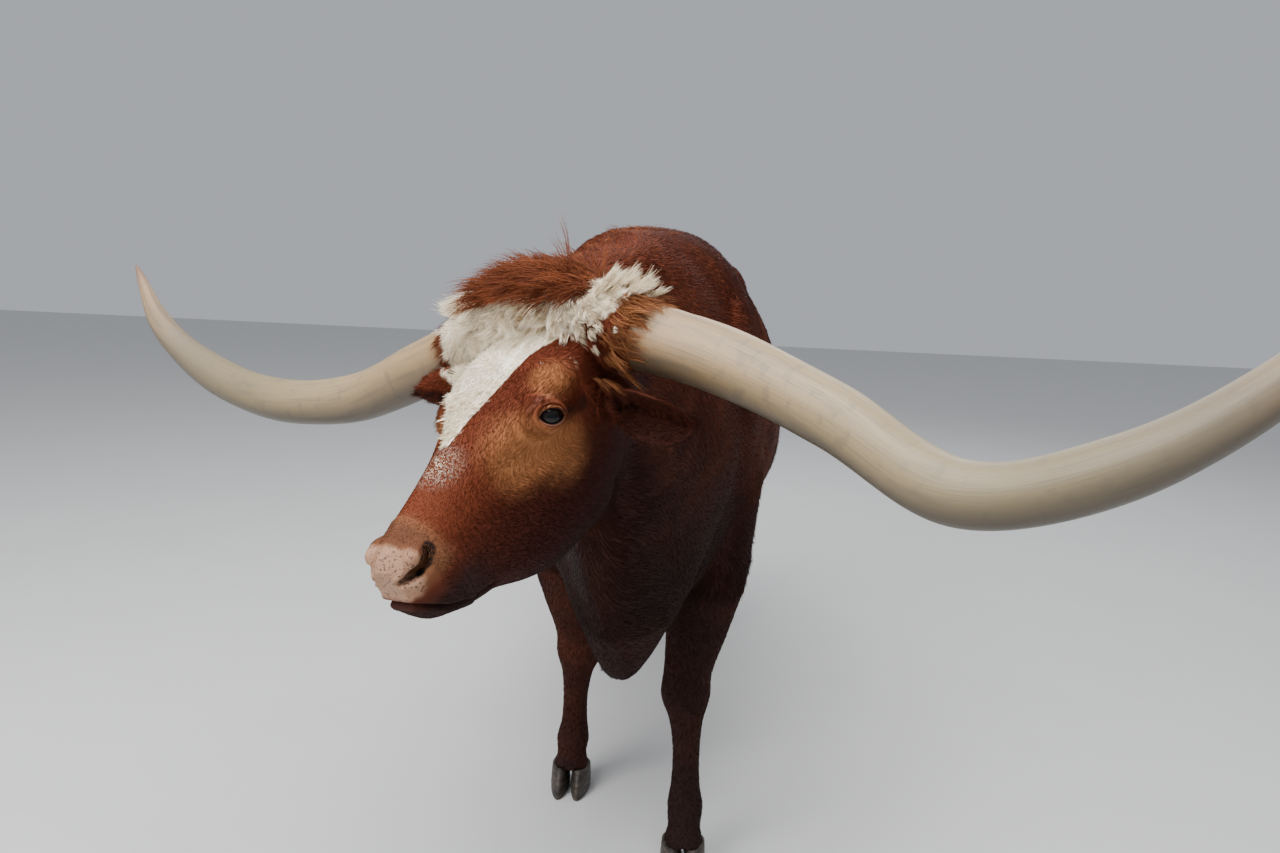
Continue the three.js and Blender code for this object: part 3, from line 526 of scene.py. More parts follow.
def makeSkin():
    points, quads, fans = joinedMesh(fleshGrids())
    piece = makeObject("skin", stretched(placed(points)), quads, fans)
    remesh = piece.modifiers.new("cells", "REMESH")
    remesh.mode = "VOXEL"
    remesh.voxel_size = skinSettings["voxel"]
    mesh = bakedModifiers(piece)
    print("skin cells:", len(mesh.polygons))
    points = unplaced(stretched(meshArrays(mesh), back=True))
    edges = np.empty(len(mesh.edges) * 2, np.int32)
    mesh.edges.foreach_get("vertices", edges)
    edges = edges.reshape(-1, 2)
    head = headShare(toHead(points)) * (toHead(points)[:, 1] < 0)
    onEar = earShare(toHead(points))
    strength = 1 - 0.75 * np.maximum(head * (toHead(points)[:, 1] < -200), onEar)
    points = relaxed(points, edges, strength, skinSettings["rounds"])
    points = eased(points, edges, skinSettings["easeRounds"])
    mesh.vertices.foreach_set("co", points.astype(np.float32).ravel())
    mesh.update()
    normals = vertexNormals(mesh)
    headPoints, headNormals = toHead(points), normals @ headTurn
    headPoints = nostrilHollow(headPoints, headNormals)
    headPoints += sculpted(headPoints, headNormals) * headShare(headPoints)[:, None]
    headPoints = eyeCrater(headPoints)
    points = fromHead(headPoints)
    points += bodyForm(points, normals)
    inset = coatDepth(points)
    points -= normals * inset[:, None]
    mesh.vertices.foreach_set("co", placed(points).astype(np.float32).ravel())
    mesh.update()
    thinner = piece.modifiers.new("fewer", "DECIMATE")
    thinner.ratio = min(1, skinSettings["finalTriangles"] / (2 * len(mesh.polygons)))
    mesh = bakedModifiers(piece)
    mesh.shade_smooth()
    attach(piece, "root")
    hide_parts("head", "poll", "neck", "torso", "horn_base_left", "horn_base_right", "ear_left", "ear_right",
                "foreleg_left", "foreleg_right", "hindleg_left", "hindleg_right", "tail_upper", "tail_middle", "tail_switch")
    print("skin done:", len(mesh.polygons))
    return piece


def earShare(head):  # 1 on the ears and 0 elsewhere
    share = np.zeros(len(head))
    for axis in (body["leftEar"], body["rightEar"]):
        line = splinePoints(axis, 6)[3:]
        gap = np.linalg.norm(head[:, None] - line[None], axis=2).min(1)
        share = np.maximum(share, np.clip((52 - gap) / 8, 0, 1))
    return share * (np.abs(head[:, 0]) > 118)


def bodyForm(points, normals):  # muscle and bone under the hide, as smooth humps in millimetres
    x, y, z = np.abs(points[:, 0]), points[:, 1], points[:, 2]
    move = np.zeros(len(points))
    onTrunk = (z > 560) & (y > -330)
    for k in range(9):  # ribs
        move += onTrunk * 1.6 * bell(y + 0.18 * (z - 900), 330 + 70 * k, 15) * bell(z, 960, 190) * (x > 150)
    move += onTrunk * 7 * bell(y, -40 + 0.35 * (z - 1000), 26) * bell(z, 1090, 170) * (x > 120)  # blade bone
    move -= onTrunk * 7 * bell(y, 130, 45) * bell(z, 1000, 200) * (x > 120)  # hollow behind the shoulder
    move -= onTrunk * 14 * bell(y, 985, 70) * bell(z, 1180, 90) * (x > 120)  # hollow of the flank
    move -= onTrunk * 8 * bell(y, 1240, 60) * bell(z, 1270, 50) * (x > 60)  # before the pin bone
    return move[:, None] * normals


def coatDepth(points):  # how far the skin lies inside the solids, in millimetres
    head = toHead(points)
    depth = np.full(len(points), 4.0)
    depth = np.where(head[:, 1] < 40, 2.2, depth)
    depth = np.where(head[:, 1] < -470, 0.6, depth)
    depth = np.where(points[:, 2] < 700, 2.5, depth)
    return np.where(earShare(head) > 0.1, 0.3, depth)


# Eyes, lids, horns and hooves


def eyePiece(side, hand):  # a ball whose front swells over the iris
    out, long, high = eyeAxes(hand)
    v = np.linspace(0.01, np.pi - 0.01, 72)[:, None]
    u = turnsOf(96)[None]
    a, b, g = np.sin(v) * np.cos(u), np.sin(v) * np.sin(u), np.cos(v) + 0 * u
    radius = pose["eyeRadius"] - 0.3 + 1.0 * bell(np.sin(v) + (g < 0) * 9, 0, 0.5)
    at = a[..., None] * long + b[..., None] * high + g[..., None] * out
    at = np.array(eyes[side], float) + at * radius[..., None]
    points, quads, fans = tubeMesh(placed(fromHead(at)))
    quads, fans = outward(points, quads, fans)
    piece = makeObject("eyeball_" + side, points, quads, fans)
    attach(piece, "root")
    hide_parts("eye_" + side)
    return piece


def lidPiece(skin, side, hand):  # rings from the almond opening out to the skin, with a crease above and bags below
    tree = BVHTree.FromObject(skin, bpy.context.evaluated_depsgraph_get())
    out, long, high = eyeAxes(hand)
    centre = np.array(eyes[side], float)
    turn = turnsOf(144)[None]
    share = np.concatenate([[0, 0.012, 0.03, 0.055], np.linspace(0.08, 1, 47)])[:, None]
    c, s = np.cos(turn), np.sin(turn)
    half, reach = eyes["half"], eyes["reach"]
    a = (half[0] + (reach[0] - half[0]) * share) * c
    upper = np.where(s > 0, 1.0, 0.92)
    sharp = np.sign(s) * np.abs(s) ** (1.0 + 0.35 * (1 - share))
    b = (half[1] * upper + (reach[1] - half[1] * upper) * share) * sharp
    ball = np.sqrt(np.maximum(pose["eyeRadius"] ** 2 - a**2 - b**2, 4))
    lid = np.sqrt(np.maximum((pose["eyeRadius"] + 3.2) ** 2 - a**2 - b**2, 1))
    edge = np.clip(share / 0.05, 0, 1)
    low = ball - 1.2 + (lid - ball + 1.2) * np.sqrt(edge)
    base = centre + a[..., None] * long + b[..., None] * high
    start = placed(fromHead(base + out * 70))
    way = Vector(headTurn @ -out)
    height = np.zeros(a.shape)
    for index in np.ndindex(a.shape):
        hit = tree.ray_cast(Vector(start[index]), way, 0.12)
        height[index] = 70 - hit[3] * 1000 if hit[0] is not None else 0
    # from the lid's edge the surface runs out to the skin past the hollow that holds the ball
    rim, rise = np.searchsorted(share[:, 0], 0.09), np.searchsorted(share[:, 0], 0.62)
    t = np.clip((share - share[rim]) / (share[rise] - share[rim]), 0, 1)
    slope = 0.55 * t + 0.45 * t * t * (3 - 2 * t)
    plain = np.where(share <= share[rim], low, low[rim] + (height[rise] - low[rim]) * slope)
    plain = np.where(share > share[rise], height, plain)
    above = np.clip(s / 0.35, 0, 1)
    below = np.clip(-s / 0.35, 0, 1)
    fold = above * (1.5 * bell(share, 0.14, 0.06) - 2.4 * bell(share, 0.27, 0.04) + 1.6 * bell(share, 0.40, 0.08))
    fold += below * (0.9 * bell(share, 0.10, 0.04) - 1.2 * bell(share, 0.19, 0.03) + 0.7 * bell(share, 0.28, 0.05)
                     - 0.9 * bell(share, 0.42, 0.04))
    sink = np.clip((share - 0.86) / 0.14, 0, 1) ** 2
    g = plain + fold + (0.5 - 2.2 * sink) * np.clip((share - 0.3) / 0.3, 0, 1)
    grid = placed(fromHead(base + g[..., None] * out))
    around = grid.shape[1]
    r, i = np.meshgrid(np.arange(grid.shape[0] - 1), np.arange(around), indexing="ij")
    p, q = r * around + i, r * around + (i + 1) % around
    quads = np.stack([p, q, q + around, p + around], -1).reshape(-1, 4)
    flat = grid.reshape(-1, 3)
    normal = np.cross(flat[quads[:, 1]] - flat[quads[:, 0]], flat[quads[:, 3]] - flat[quads[:, 0]]).sum(0)
    if normal @ (headTurn @ out) < 0:
        quads = quads[:, ::-1]
    piece = makeObject("lids_" + side, flat, quads)
    field = piece.data.attributes.new("share", "FLOAT", "POINT")
    field.data.foreach_set("value", np.repeat(share[:, 0], around).astype(np.float32))
    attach(piece, "root")
    return piece


def lashPiece(side, hand, material):  # dark lashes along the upper lid's edge, a few finer ones below
    random = np.random.default_rng(23)
    out, long, high = eyeAxes(hand)
    turn = np.concatenate([np.linspace(0.25, 2.9, 70), np.linspace(3.6, 5.8, 22)]) + random.normal(0, 0.02, 92)
    upper = np.sin(turn) > 0
    a, b = 1.03 * eyes["half"][0] * np.cos(turn), 1.05 * eyes["half"][1] * np.sin(turn)
    g = np.sqrt(pose["eyeRadius"] ** 2 - a**2 - b**2) + 1.6
    roots = np.array(eyes[side], float) + a[:, None] * long + b[:, None] * high + g[:, None] * out
    length = np.where(upper, 12.0, 6.0) * random.uniform(0.75, 1.15, len(turn))
    ways = out * 0.9 + long * (0.5 * np.cos(turn))[:, None] + high * np.where(upper, 0.35, -0.5)[:, None]
    ways = ways + random.normal(0, 0.07, ways.shape)
    t = np.linspace(0, 1, 6)[None, :, None]
    paths = roots[:, None] + (ways * length[:, None])[:, None] * t - (high * length[:, None])[:, None] * 0.45 * t**2
    points, faces, places, along = strands(fromHead(roots), fromHead(paths), np.full(len(turn), 0.55), random)
    tone = np.repeat(random.random(len(turn)), len(points) // len(turn))
    return hairPiece("lashes_" + side, points, faces, places, {"tone": tone, "along": along}, material)


def hornPiece(side):  # a round section carried along the horn's axis, ringed at the root
    share = np.concatenate([np.linspace(0, 0.97, 280), np.linspace(0.972, 1, 20)])
    around = 72
    turn = turnsOf(around)
    radius = stations(horns["radius"], share)[:, 0]
    _, _, length = curveAt(horns[side], [0, 1])
    along = share * length
    rings = 0.9 * np.sin(along / 7.5) * np.clip(1 - along / 190, 0, 1) + 0.5 * np.sin(along / 31 + 1)
    radius = radius - 0.8 + rings * np.clip(radius / 20, 0, 1)
    grid = sweptGrid(horns[side], share, around, np.stack([radius, radius], -1), [0, 0, 1])
    centre = grid.mean(1, keepdims=True)
    wave = 0.010 * np.sin(3 * turn + along[:, None] / 160) + 0.006 * np.sin(5 * turn - along[:, None] / 90)
    grid = centre + (grid - centre) * (1 + wave)[..., None]
    points, quads, fans = tubeMesh(placed(fromHead(grid)))
    quads, fans = outward(points, quads, fans)
    piece = makeObject("hornShell_" + side, points, quads, fans)
    count = len(share)
    shareOf = np.concatenate([np.repeat(share, around), [0, 1]])
    field = piece.data.attributes.new("share", "FLOAT", "POINT")
    field.data.foreach_set("value", shareOf.astype(np.float32))
    field = piece.data.attributes.new("roundAbout", "FLOAT_VECTOR", "POINT")
    circle = np.tile(np.stack([np.cos(turn), np.sin(turn), 0 * turn], -1), (count, 1))
    circle = np.concatenate([circle, np.zeros((2, 3))])
    field.data.foreach_set("vector", circle.astype(np.float32).ravel())
    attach(piece, "root")
    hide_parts("horn_" + side)
    return piece


def clawGrid(hand, inner, footY):
    away = -hand if inner else hand
    rows = [[0, 22.4, 82, 33], [3, 23.2, 84, 34], [22, 24, 78, 36], [44, 23, 66, 36], [61.5, 22, 53, 34]]
    z = np.concatenate([[0, 0.8], np.linspace(2, 61.5, 46)])
    half, ahead, behind = stations(rows, z).T[:, :, None]
    grow = 0.5 * np.sin(z / 2.4)[:, None] * np.clip((z - 3) / 5, 0, 1)[:, None]
    inset = np.where(z < 1.5, 1.5 - z, 0)[:, None]
    out, along = rounded(turnsOf(80)[None], 2.3)
    reach = np.where(along < 0, ahead, behind) + grow - inset
    pinch = 1 - 0.3 * np.maximum(0, -along) ** 2
    x = hand * pose["footSpread"] + away * 27 + (half + grow - inset) * out * pinch - away * 3 * np.maximum(0, -along)
    return np.stack([x, footY - 30 + along * reach, np.broadcast_to(z[:, None], x.shape)], -1)


def hoofPieces():
    pieces = []
    for foot in feet:
        for inner in (True, False):
            end = foot["end"] + ("_inner" if inner else "_outer")
            away = -foot["hand"] if inner else foot["hand"]
            dew = [foot["hand"] * pose["footSpread"] + away * 21, foot["footY"] + 42, 114]
            grids = {"claw": clawGrid(foot["hand"], inner, foot["footY"]), "dewclaw": ballGrid(dew, [10.6, 14.6, 18.6], 0.35)}
            for name, grid in grids.items():
                points, quads, fans = tubeMesh(placed(grid))
                quads, fans = outward(points, quads, fans)
                piece = makeObject(name + "Shell_" + end, points, quads, fans)
                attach(piece, "root")
                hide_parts(name + "_" + end)
                pieces.append(piece)
    return pieces


# Shaders: a wire is one socket, and arithmetic on wires adds the nodes for it


class Wire:
    def __init__(self, sheet, socket):
        self.sheet, self.socket = sheet, socket

    def worked(self, operation, *others):
        return self.sheet.node("ShaderNodeMath", {"operation": operation}, [self, *others])

    def __add__(self, other):
        return self.worked("ADD", other)

    def __radd__(self, other):
        return self.worked("ADD", other)

    def __sub__(self, other):
        return self.worked("SUBTRACT", other)

    def __rsub__(self, other):
        return self.sheet.node("ShaderNodeMath", {"operation": "SUBTRACT"}, [other, self])

    def __mul__(self, other):
        return self.worked("MULTIPLY", other)

    def __rmul__(self, other):
        return self.worked("MULTIPLY", other)

    def __truediv__(self, other):
        return self.worked("DIVIDE", other)

    def __rtruediv__(self, other):
        return self.sheet.node("ShaderNodeMath", {"operation": "DIVIDE"}, [other, self])

    def __pow__(self, other):
        return self.worked("POWER", other)


class Sheet:
    def __init__(self, name):
        self.material = bpy.data.materials.new(name)
        self.material.use_nodes = True
        self.tree = self.material.node_tree
        self.tree.nodes.clear()
        self.place = self.node("ShaderNodeTexCoord", {}, {}, "Object")

    def node(self, kind, settings, inputs, output=0):
        node = self.tree.nodes.new(kind)
        for name, value in settings.items():
            if name == "stops":
                self.setStops(node.color_ramp, value)
            else:
                setattr(node, name, value)
        for key, value in inputs.items() if isinstance(inputs, dict) else enumerate(inputs):
            socket = node.inputs[key]
            if isinstance(value, Wire):
                self.tree.links.new(value.socket, socket)
            elif value is not None:
                socket.default_value = value
        return Wire(self, node.outputs[output])

    def setStops(self, ramp, stops):
        while len(ramp.elements) < len(stops):
            ramp.elements.new(0.5)
        for element, (at, color) in zip(ramp.elements, stops):
            element.position = at
            element.color = (*color, 1)

    def mixed(self, factor, first, second):
        first, second = ((*c, 1) if isinstance(c, tuple) else c for c in (first, second))
        return self.node("ShaderNodeMix", {"data_type": "RGBA"}, {0: factor, 6: first, 7: second}, 2)

    def smooth(self, value, low, high):  # 0 below low, 1 above high
        settings = {"interpolation_type": "SMOOTHSTEP", "clamp": True}
        return self.node("ShaderNodeMapRange", settings, {0: value, 1: low, 2: high, 3: 0.0, 4: 1.0})

    def noise(self, scale, detail=3.0, place=None, rough=0.5):
        inputs = {"Vector": place or self.place, "Scale": scale, "Detail": detail, "Roughness": rough}
        return self.node("ShaderNodeTexNoise", {}, inputs, 0)

    def scaled(self, place, by):
        return self.node("ShaderNodeVectorMath", {"operation": "MULTIPLY"}, [place, by])

    def shared(self, place, way):  # how far a place lies along a way
        return self.node("ShaderNodeVectorMath", {"operation": "DOT_PRODUCT"}, [place, way], 1)

    def distance(self, place, point):
        return self.node("ShaderNodeVectorMath", {"operation": "DISTANCE"}, [place, point], 1)

    def finish(self, color, roughness, height=None, strength=0.3, span=0.002, **plain):
        inputs = {"Base Color": color, "Roughness": roughness, **plain}
        if height is not None:
            bump = self.node("ShaderNodeBump", {}, {"Strength": strength, "Distance": span, "Height": height})
            inputs["Normal"] = bump
        shader = self.node("ShaderNodeBsdfPrincipled", {}, inputs)
        output = self.tree.nodes.new("ShaderNodeOutputMaterial")
        self.tree.links.new(shader.socket, output.inputs["Surface"])
        return self.material


headAxes = {"x": headTurn[:, 0], "toNose": -headTurn[:, 1], "z": headTurn[:, 2]}
headOrigin = placed([pose["poll"]])[0]


def headPlaces(sheet):  # metres to the animal's left, towards the nose and up, from the poll
    away = sheet.node("ShaderNodeVectorMath", {"operation": "SUBTRACT"}, [sheet.place, tuple(headOrigin)])
    return [sheet.shared(away, tuple(headAxes[k])) for k in ("x", "toNose", "z")]


colors = {
    "red": (0.125, 0.025, 0.009), "deepRed": (0.045, 0.009, 0.005), "rust": (0.20, 0.052, 0.018),
    "tan": (0.44, 0.180, 0.068), "dark": (0.012, 0.005, 0.004), "white": (0.96, 0.87, 0.72),
    "cream": (0.84, 0.68, 0.43), "pad": (0.43, 0.24, 0.15), "padSpeck": (0.05, 0.025, 0.025),
    "buff": (0.22, 0.092, 0.042), "lip": (0.028, 0.013, 0.010), "pink": (0.34, 0.12, 0.085),
}


def ramped(sheet, value, low, high, stops):  # straight lines between stops, each a place and a value from 0 to 1
    share = sheet.node("ShaderNodeMapRange", {"clamp": True}, {0: value, 1: low, 2: high, 3: 0.0, 4: 1.0})
    greys = [((at - low) / (high - low), (level,) * 3) for at, level in stops]
    return sheet.node("ShaderNodeSeparateColor", {}, [sheet.node("ShaderNodeValToRGB", {"stops": greys}, [share])])


# how far the white of the forehead reaches towards the nose, in metres, from the animal's right to its left
blaze = [
    (-0.22, 0.11), (-0.2, 0.135), (-0.17, 0.15), (-0.125, 0.17), (-0.107, 0.205), (-0.09, 0.235),
    (-0.076, 0.262), (-0.043, 0.309), (-0.016, 0.345), (0.0, 0.345), (0.004, 0.29), (0.012, 0.255), (0.024, 0.19), (0.032, 0.142), (0.047, 0.117),
    (0.065, 0.098), (0.12, 0.088), (0.15, 0.085), (0.165, 0.072), (0.18, 0.03), (0.2, 0.0),
]


def markedCoat(sheet):  # the colours and markings, the same for skin and hair
    x, toNose, z = headPlaces(sheet)
    fine = sheet.noise(60, 3)
    ragged = (fine - 0.5) * 0.022 + (sheet.noise(16, 3) - 0.5) * 0.028
    height = sheet.node("ShaderNodeSeparateXYZ", {}, [sheet.place], 2)
    onHead = sheet.smooth(toNose, 0.0, 0.06) * sheet.smooth(z, -0.42, -0.34)
    color = sheet.mixed(sheet.smooth(sheet.noise(2.4, 3), 0.35, 0.65), colors["deepRed"], colors["red"])
    color = sheet.mixed(sheet.smooth(sheet.noise(9, 4), 0.42, 0.7) * 0.4, color, colors["rust"])
    # painted shade: darker towards the ground, on the legs and low on the body
    low = 1 - sheet.smooth(height + ragged * 3, 0.05, 0.85)
    color = sheet.mixed(low * 0.6, color, colors["dark"])
    # throat, chest and forelegs are darker: partly darker hair, partly painted shade under the head
    ahead = 1 - sheet.smooth(sheet.shared(sheet.place, (0, 1, 0)) + ragged * 5, -0.35, 0.25)
    underDarkAndShade = (1 - sheet.smooth(height + ragged * 5, 0.75, 1.32)) * ahead
    color = sheet.mixed(underDarkAndShade * 0.84, color, colors["dark"])
    # face: rust above, darker towards the jaw and the muzzle's sides
    face = sheet.mixed(sheet.smooth(z + ragged, -0.22, -0.06), colors["deepRed"], colors["red"])
    bridge = sheet.smooth(toNose + ragged * 2, 0.25, 0.42) * sheet.smooth(z + ragged, -0.12, -0.05)
    face = sheet.mixed(bridge * 0.22, face, colors["rust"])
    face = sheet.mixed((1 - sheet.smooth(z + ragged, -0.30, -0.21)) * 0.45, face, colors["dark"])
    color = sheet.mixed(onHead, color, face)
    # tan below and before each eye, with a fainter patch above it, and a dark streak behind its outer corner
    for way in (1, -1):
        patches = [
            ((way * 80, -292, -76), 0.02, 0.085, 0.8, "tan"), ((way * 96, -236, -112), 0.02, 0.075, 0.75, "tan"),
            ((way * 96, -186, -16), 0.012, 0.05, 0.6, "tan"), ((way * 112, -196, -66), 0.004, 0.022, 0.75, "dark"),
            ((way * 118, -172, -74), 0.005, 0.026, 0.7, "dark"),
        ]
        for spot, inner, outer, strength, name in patches:
            gap = sheet.distance(sheet.place, tuple(placed(fromHead([spot]))[0]))
            color = sheet.mixed((1 - sheet.smooth(gap + ragged * 0.8, inner, outer)) * strength, color, colors[name])
    # ears nearly black, partly their own dark hair and partly painted shade under the horns, with a redder rim
    ear = sheet.smooth(x.worked("ABSOLUTE"), 0.118, 0.135) * sheet.smooth(toNose, 0.080, 0.096)
    ear = ear * (1 - sheet.smooth(z, -0.075, -0.055))
    color = sheet.mixed(ear * 0.5, color, colors["dark"])
    # white of the forehead and horn roots, down to a tip between the eyes and the nose
    limit = ramped(sheet, x, -0.22, 0.2, blaze)
    middle = 1 - sheet.smooth(x.worked("ABSOLUTE"), 0.085, 0.115)
    start = middle * 0.045 - (1 - middle) * 0.02
    white = sheet.smooth(limit - toNose + ragged, -0.004, 0.006)
    white = white * sheet.smooth(toNose - start + ragged, -0.005, 0.008)
    white = white * sheet.smooth(z - sheet.smooth(x, 0.09, 0.13) * 0.035 + ragged, -0.07, -0.045)
    # roan hairs on the bridge of the nose
    spot = tuple(placed(fromHead([[2, -378, -28]]))[0])
    away = sheet.distance(sheet.place, spot)
    roan = (1 - sheet.smooth(away, 0.008, 0.055)) * 0.36 + (1 - sheet.smooth(away, 0.004, 0.022)) * 0.5
    hairs = sheet.noise(420, 2, sheet.scaled(sheet.place, (1, 1, 0.3)))
    white = white + roan * sheet.smooth(hairs + (sheet.noise(45, 3) - 0.5) * 0.35, 0.46, 0.62) * (1 - white)
    creamy = sheet.mixed(sheet.smooth(sheet.noise(34, 3), 0.35, 0.7) * 0.55, colors["white"], colors["cream"])
    color = sheet.mixed(white, color, creamy)
    # muzzle: buff wings of the nostrils, dark grey lips
    wing = sheet.smooth(toNose + ragged * 0.7, 0.455, 0.485) * sheet.smooth(z + ragged * 0.4, -0.135, -0.105)
    color = sheet.mixed(wing * 0.85, color, colors["buff"])
    # painted shade: a darker band across the top of the muzzle
    saddleShade = sheet.smooth(toNose + ragged, 0.47, 0.49) * (1 - sheet.smooth(toNose + ragged, 0.505, 0.525))
    color = sheet.mixed(saddleShade * sheet.smooth(z, -0.085, -0.07) * 0.5, color, colors["deepRed"])
    lip = (1 - sheet.smooth(z + ragged * 0.6, -0.165, -0.125)) * sheet.smooth(toNose + ragged, 0.40, 0.47)
    color = sheet.mixed(lip * 0.9, color, colors["lip"])
    return color, x, toNose, z


def skinMaterial():
    sheet = Sheet("hide")
    color, x, toNose, z = markedCoat(sheet)
    # bare pad: below the nostril its edge lies further forward
    nose = toNose - (1 - sheet.smooth(z, -0.135, -0.085)) * 0.016 + (sheet.noise(40, 2) - 0.5) * 0.014
    pad = sheet.smooth(nose, 0.511, 0.523) * sheet.smooth(z + (sheet.noise(55, 2) - 0.5) * 0.01, -0.136, -0.124)
    specks = sheet.smooth(sheet.noise(240, 3), 0.54, 0.66)
    padColor = sheet.mixed(sheet.smooth(sheet.noise(28, 3), 0.42, 0.7) * 0.5, colors["pad"], colors["buff"])
    padColor = sheet.mixed(specks * 0.8, padColor, colors["padSpeck"])
    color = sheet.mixed(pad, color, padColor)
    # painted shade: the insides of the nostrils near black
    for hand in (1, -1):  # inside of the nostrils
        for across, back, height, reach in nostril["dark"]:
            gap = sheet.distance(sheet.place, tuple(placed(fromHead([(hand * across, back, height)]))[0]))
            color = sheet.mixed(1 - sheet.smooth(gap, reach * 0.00075, reach * 0.00115), color, (0.004, 0.002, 0.002))
    cells = {"Vector": sheet.place, "Scale": 420.0}
    pebbles = sheet.node("ShaderNodeTexVoronoi", {"feature": "DISTANCE_TO_EDGE"}, cells)
    hair = sheet.noise(900, 2, sheet.scaled(sheet.place, (1, 0.25, 0.35)))
    height = hair * (1 - pad) * 0.6 + pebbles * pad * 1.4 + sheet.noise(90, 3) * 0.5
    return sheet.finish(color, 0.76 - pad * 0.3, height, 0.5, 0.002, **{"Specular IOR Level": 0.16})


def eyeMaterial(side, hand):
    sheet = Sheet("wetEye_" + side)
    out, long, high = (headTurn @ v for v in eyeAxes(hand))
    centre = placed(fromHead([eyes[side]]))[0]
    away = sheet.node("ShaderNodeVectorMath", {"operation": "SUBTRACT"}, [sheet.place, tuple(centre)])
    a, b = sheet.shared(away, tuple(long)) * 1000, sheet.shared(away, tuple(high)) * 1000
    round_ = (a * a + b * b) ** 0.5
    pupil = 1 - sheet.smooth(((a / 8.0) ** 2 + (b / 4.2) ** 2), 0.8, 1.1)
    iris = 1 - sheet.smooth(round_, 14.5, 16)
    brown = sheet.mixed(sheet.noise(700, 2), (0.005, 0.003, 0.003), (0.014, 0.008, 0.006))
    color = sheet.mixed(iris, (0.03, 0.015, 0.013), brown)
    # pupil near black, its faint blue a painted reflection
    color = sheet.mixed(pupil, color, (0.001, 0.0015, 0.003))
    return sheet.finish(color, 0.05, None, **{"Specular IOR Level": 0.3})


def lidMaterial(side, hand):  # the hide's colours, with a dark edge, a crease above and a pinkish rim below
    sheet = Sheet("eyelid_" + side)
    color = markedCoat(sheet)[0]
    share = sheet.node("ShaderNodeAttribute", {"attribute_name": "share"}, {}, "Fac")
    centre = placed(fromHead([eyes[side]]))[0]
    away = sheet.node("ShaderNodeVectorMath", {"operation": "SUBTRACT"}, [sheet.place, tuple(centre)])
    rise = sheet.shared(away, tuple(headTurn @ eyeAxes(hand)[2])) * 1000
    upper = sheet.smooth(rise, -3, 3)
    color = sheet.mixed((1 - sheet.smooth(share, 0.2, 0.5)) * 0.55, color, colors["tan"])
    # painted shade in the crease above the eye
    creaseShade = (1 - sheet.smooth((share - 0.27).worked("ABSOLUTE"), 0.015, 0.05)) * upper
    color = sheet.mixed(creaseShade * 0.6, color, colors["dark"])
    pinkRim = (1 - sheet.smooth((share - 0.11).worked("ABSOLUTE"), 0.02, 0.06)) * (1 - upper)
    color = sheet.mixed(pinkRim * 0.8, color, colors["pink"])
    color = sheet.mixed(1 - sheet.smooth(share, 0.05, 0.085), color, colors["dark"])
    height = sheet.noise(500, 3)
    return sheet.finish(color, 0.6, height, 0.4, 0.001, **{"Specular IOR Level": 0.25})


def hornMaterial():
    sheet = Sheet("hornKeratin")
    share = sheet.node("ShaderNodeAttribute", {"attribute_name": "share"}, {}, "Fac")
    circle = sheet.node("ShaderNodeAttribute", {"attribute_name": "roundAbout"}, {}, "Vector")
    along = sheet.node("ShaderNodeCombineXYZ", {}, {2: share * 2.2})
    lengthwise = sheet.node("ShaderNodeVectorMath", {"operation": "ADD"}, [circle, along])
    line = sheet.noise(14, 4, sheet.scaled(lengthwise, (3.2, 3.2, 0.35)), 0.6)
    patch = sheet.noise(2.2, 3, sheet.scaled(lengthwise, (1, 1, 1.6)))
    tone = sheet.node("ShaderNodeValToRGB", {"stops": [
        (0.0, (0.24, 0.11, 0.045)), (0.04, (0.36, 0.20, 0.085)), (0.12, (0.38, 0.245, 0.12)), (0.34, (0.37, 0.27, 0.14)),
        (0.55, (0.25, 0.195, 0.105)), (0.75, (0.21, 0.165, 0.105)), (0.93, (0.37, 0.24, 0.135)), (1.0, (0.22, 0.11, 0.07)),
    ]}, [share])
    grey = sheet.smooth(line, 0.44, 0.70) * 0.62 + sheet.smooth(patch, 0.48, 0.75) * 0.5
    color = sheet.mixed(grey.worked("MINIMUM", 1.0), tone, (0.15, 0.12, 0.085))
    bands = sheet.smooth(sheet.noise(26, 2, sheet.scaled(lengthwise, (0.05, 0.05, 1))), 0.55, 0.7)
    color = sheet.mixed(bands * 0.42, color, (0.17, 0.135, 0.09))
    # painted shade: the horn darker where it faces down
    normal = sheet.node("ShaderNodeNewGeometry", {}, {}, "Normal")
    below = 1 - sheet.smooth(sheet.shared(normal, (0, 0, 1)) + (line - 0.5) * 0.5, -0.8, 0.15)
    color = sheet.mixed(below * 0.85, color, (0.040, 0.029, 0.019))
    height = line * 0.6 + sheet.noise(300, 2) * 0.25
    return sheet.finish(color, 0.38 + grey * 0.15, height, 0.35, 0.0015, **{"Specular IOR Level": 0.45})


def hoofMaterial():
    sheet = Sheet("hoofKeratin")
    lines = sheet.noise(40, 3, sheet.scaled(sheet.place, (0.6, 0.6, 5)))
    color = sheet.mixed(sheet.smooth(lines, 0.35, 0.7), (0.018, 0.013, 0.010), (0.075, 0.055, 0.040))
    return sheet.finish(color, 0.55, lines, 0.4, 0.002)


def floorMaterial():
    sheet = Sheet("paleFloor")
    tone = sheet.mixed(sheet.noise(3, 3), (0.60, 0.60, 0.59), (0.64, 0.64, 0.63))
    return sheet.finish(tone, 0.85)


def makeFloor():
    size = 14.0
    points = np.array([[-size, -size, 0], [size, -size, 0], [size, size, 0], [-size, size, 0]], float)
    piece = makeObject("floor", points, np.array([[0, 1, 2, 3]]))
    piece.data.materials.append(floorMaterial())


studio = {"pitch": 9.62, "roll": 2.4, "yaw": 3.5, "lens": 28.8, "eye": (143.5, -2345.6, 1380)}


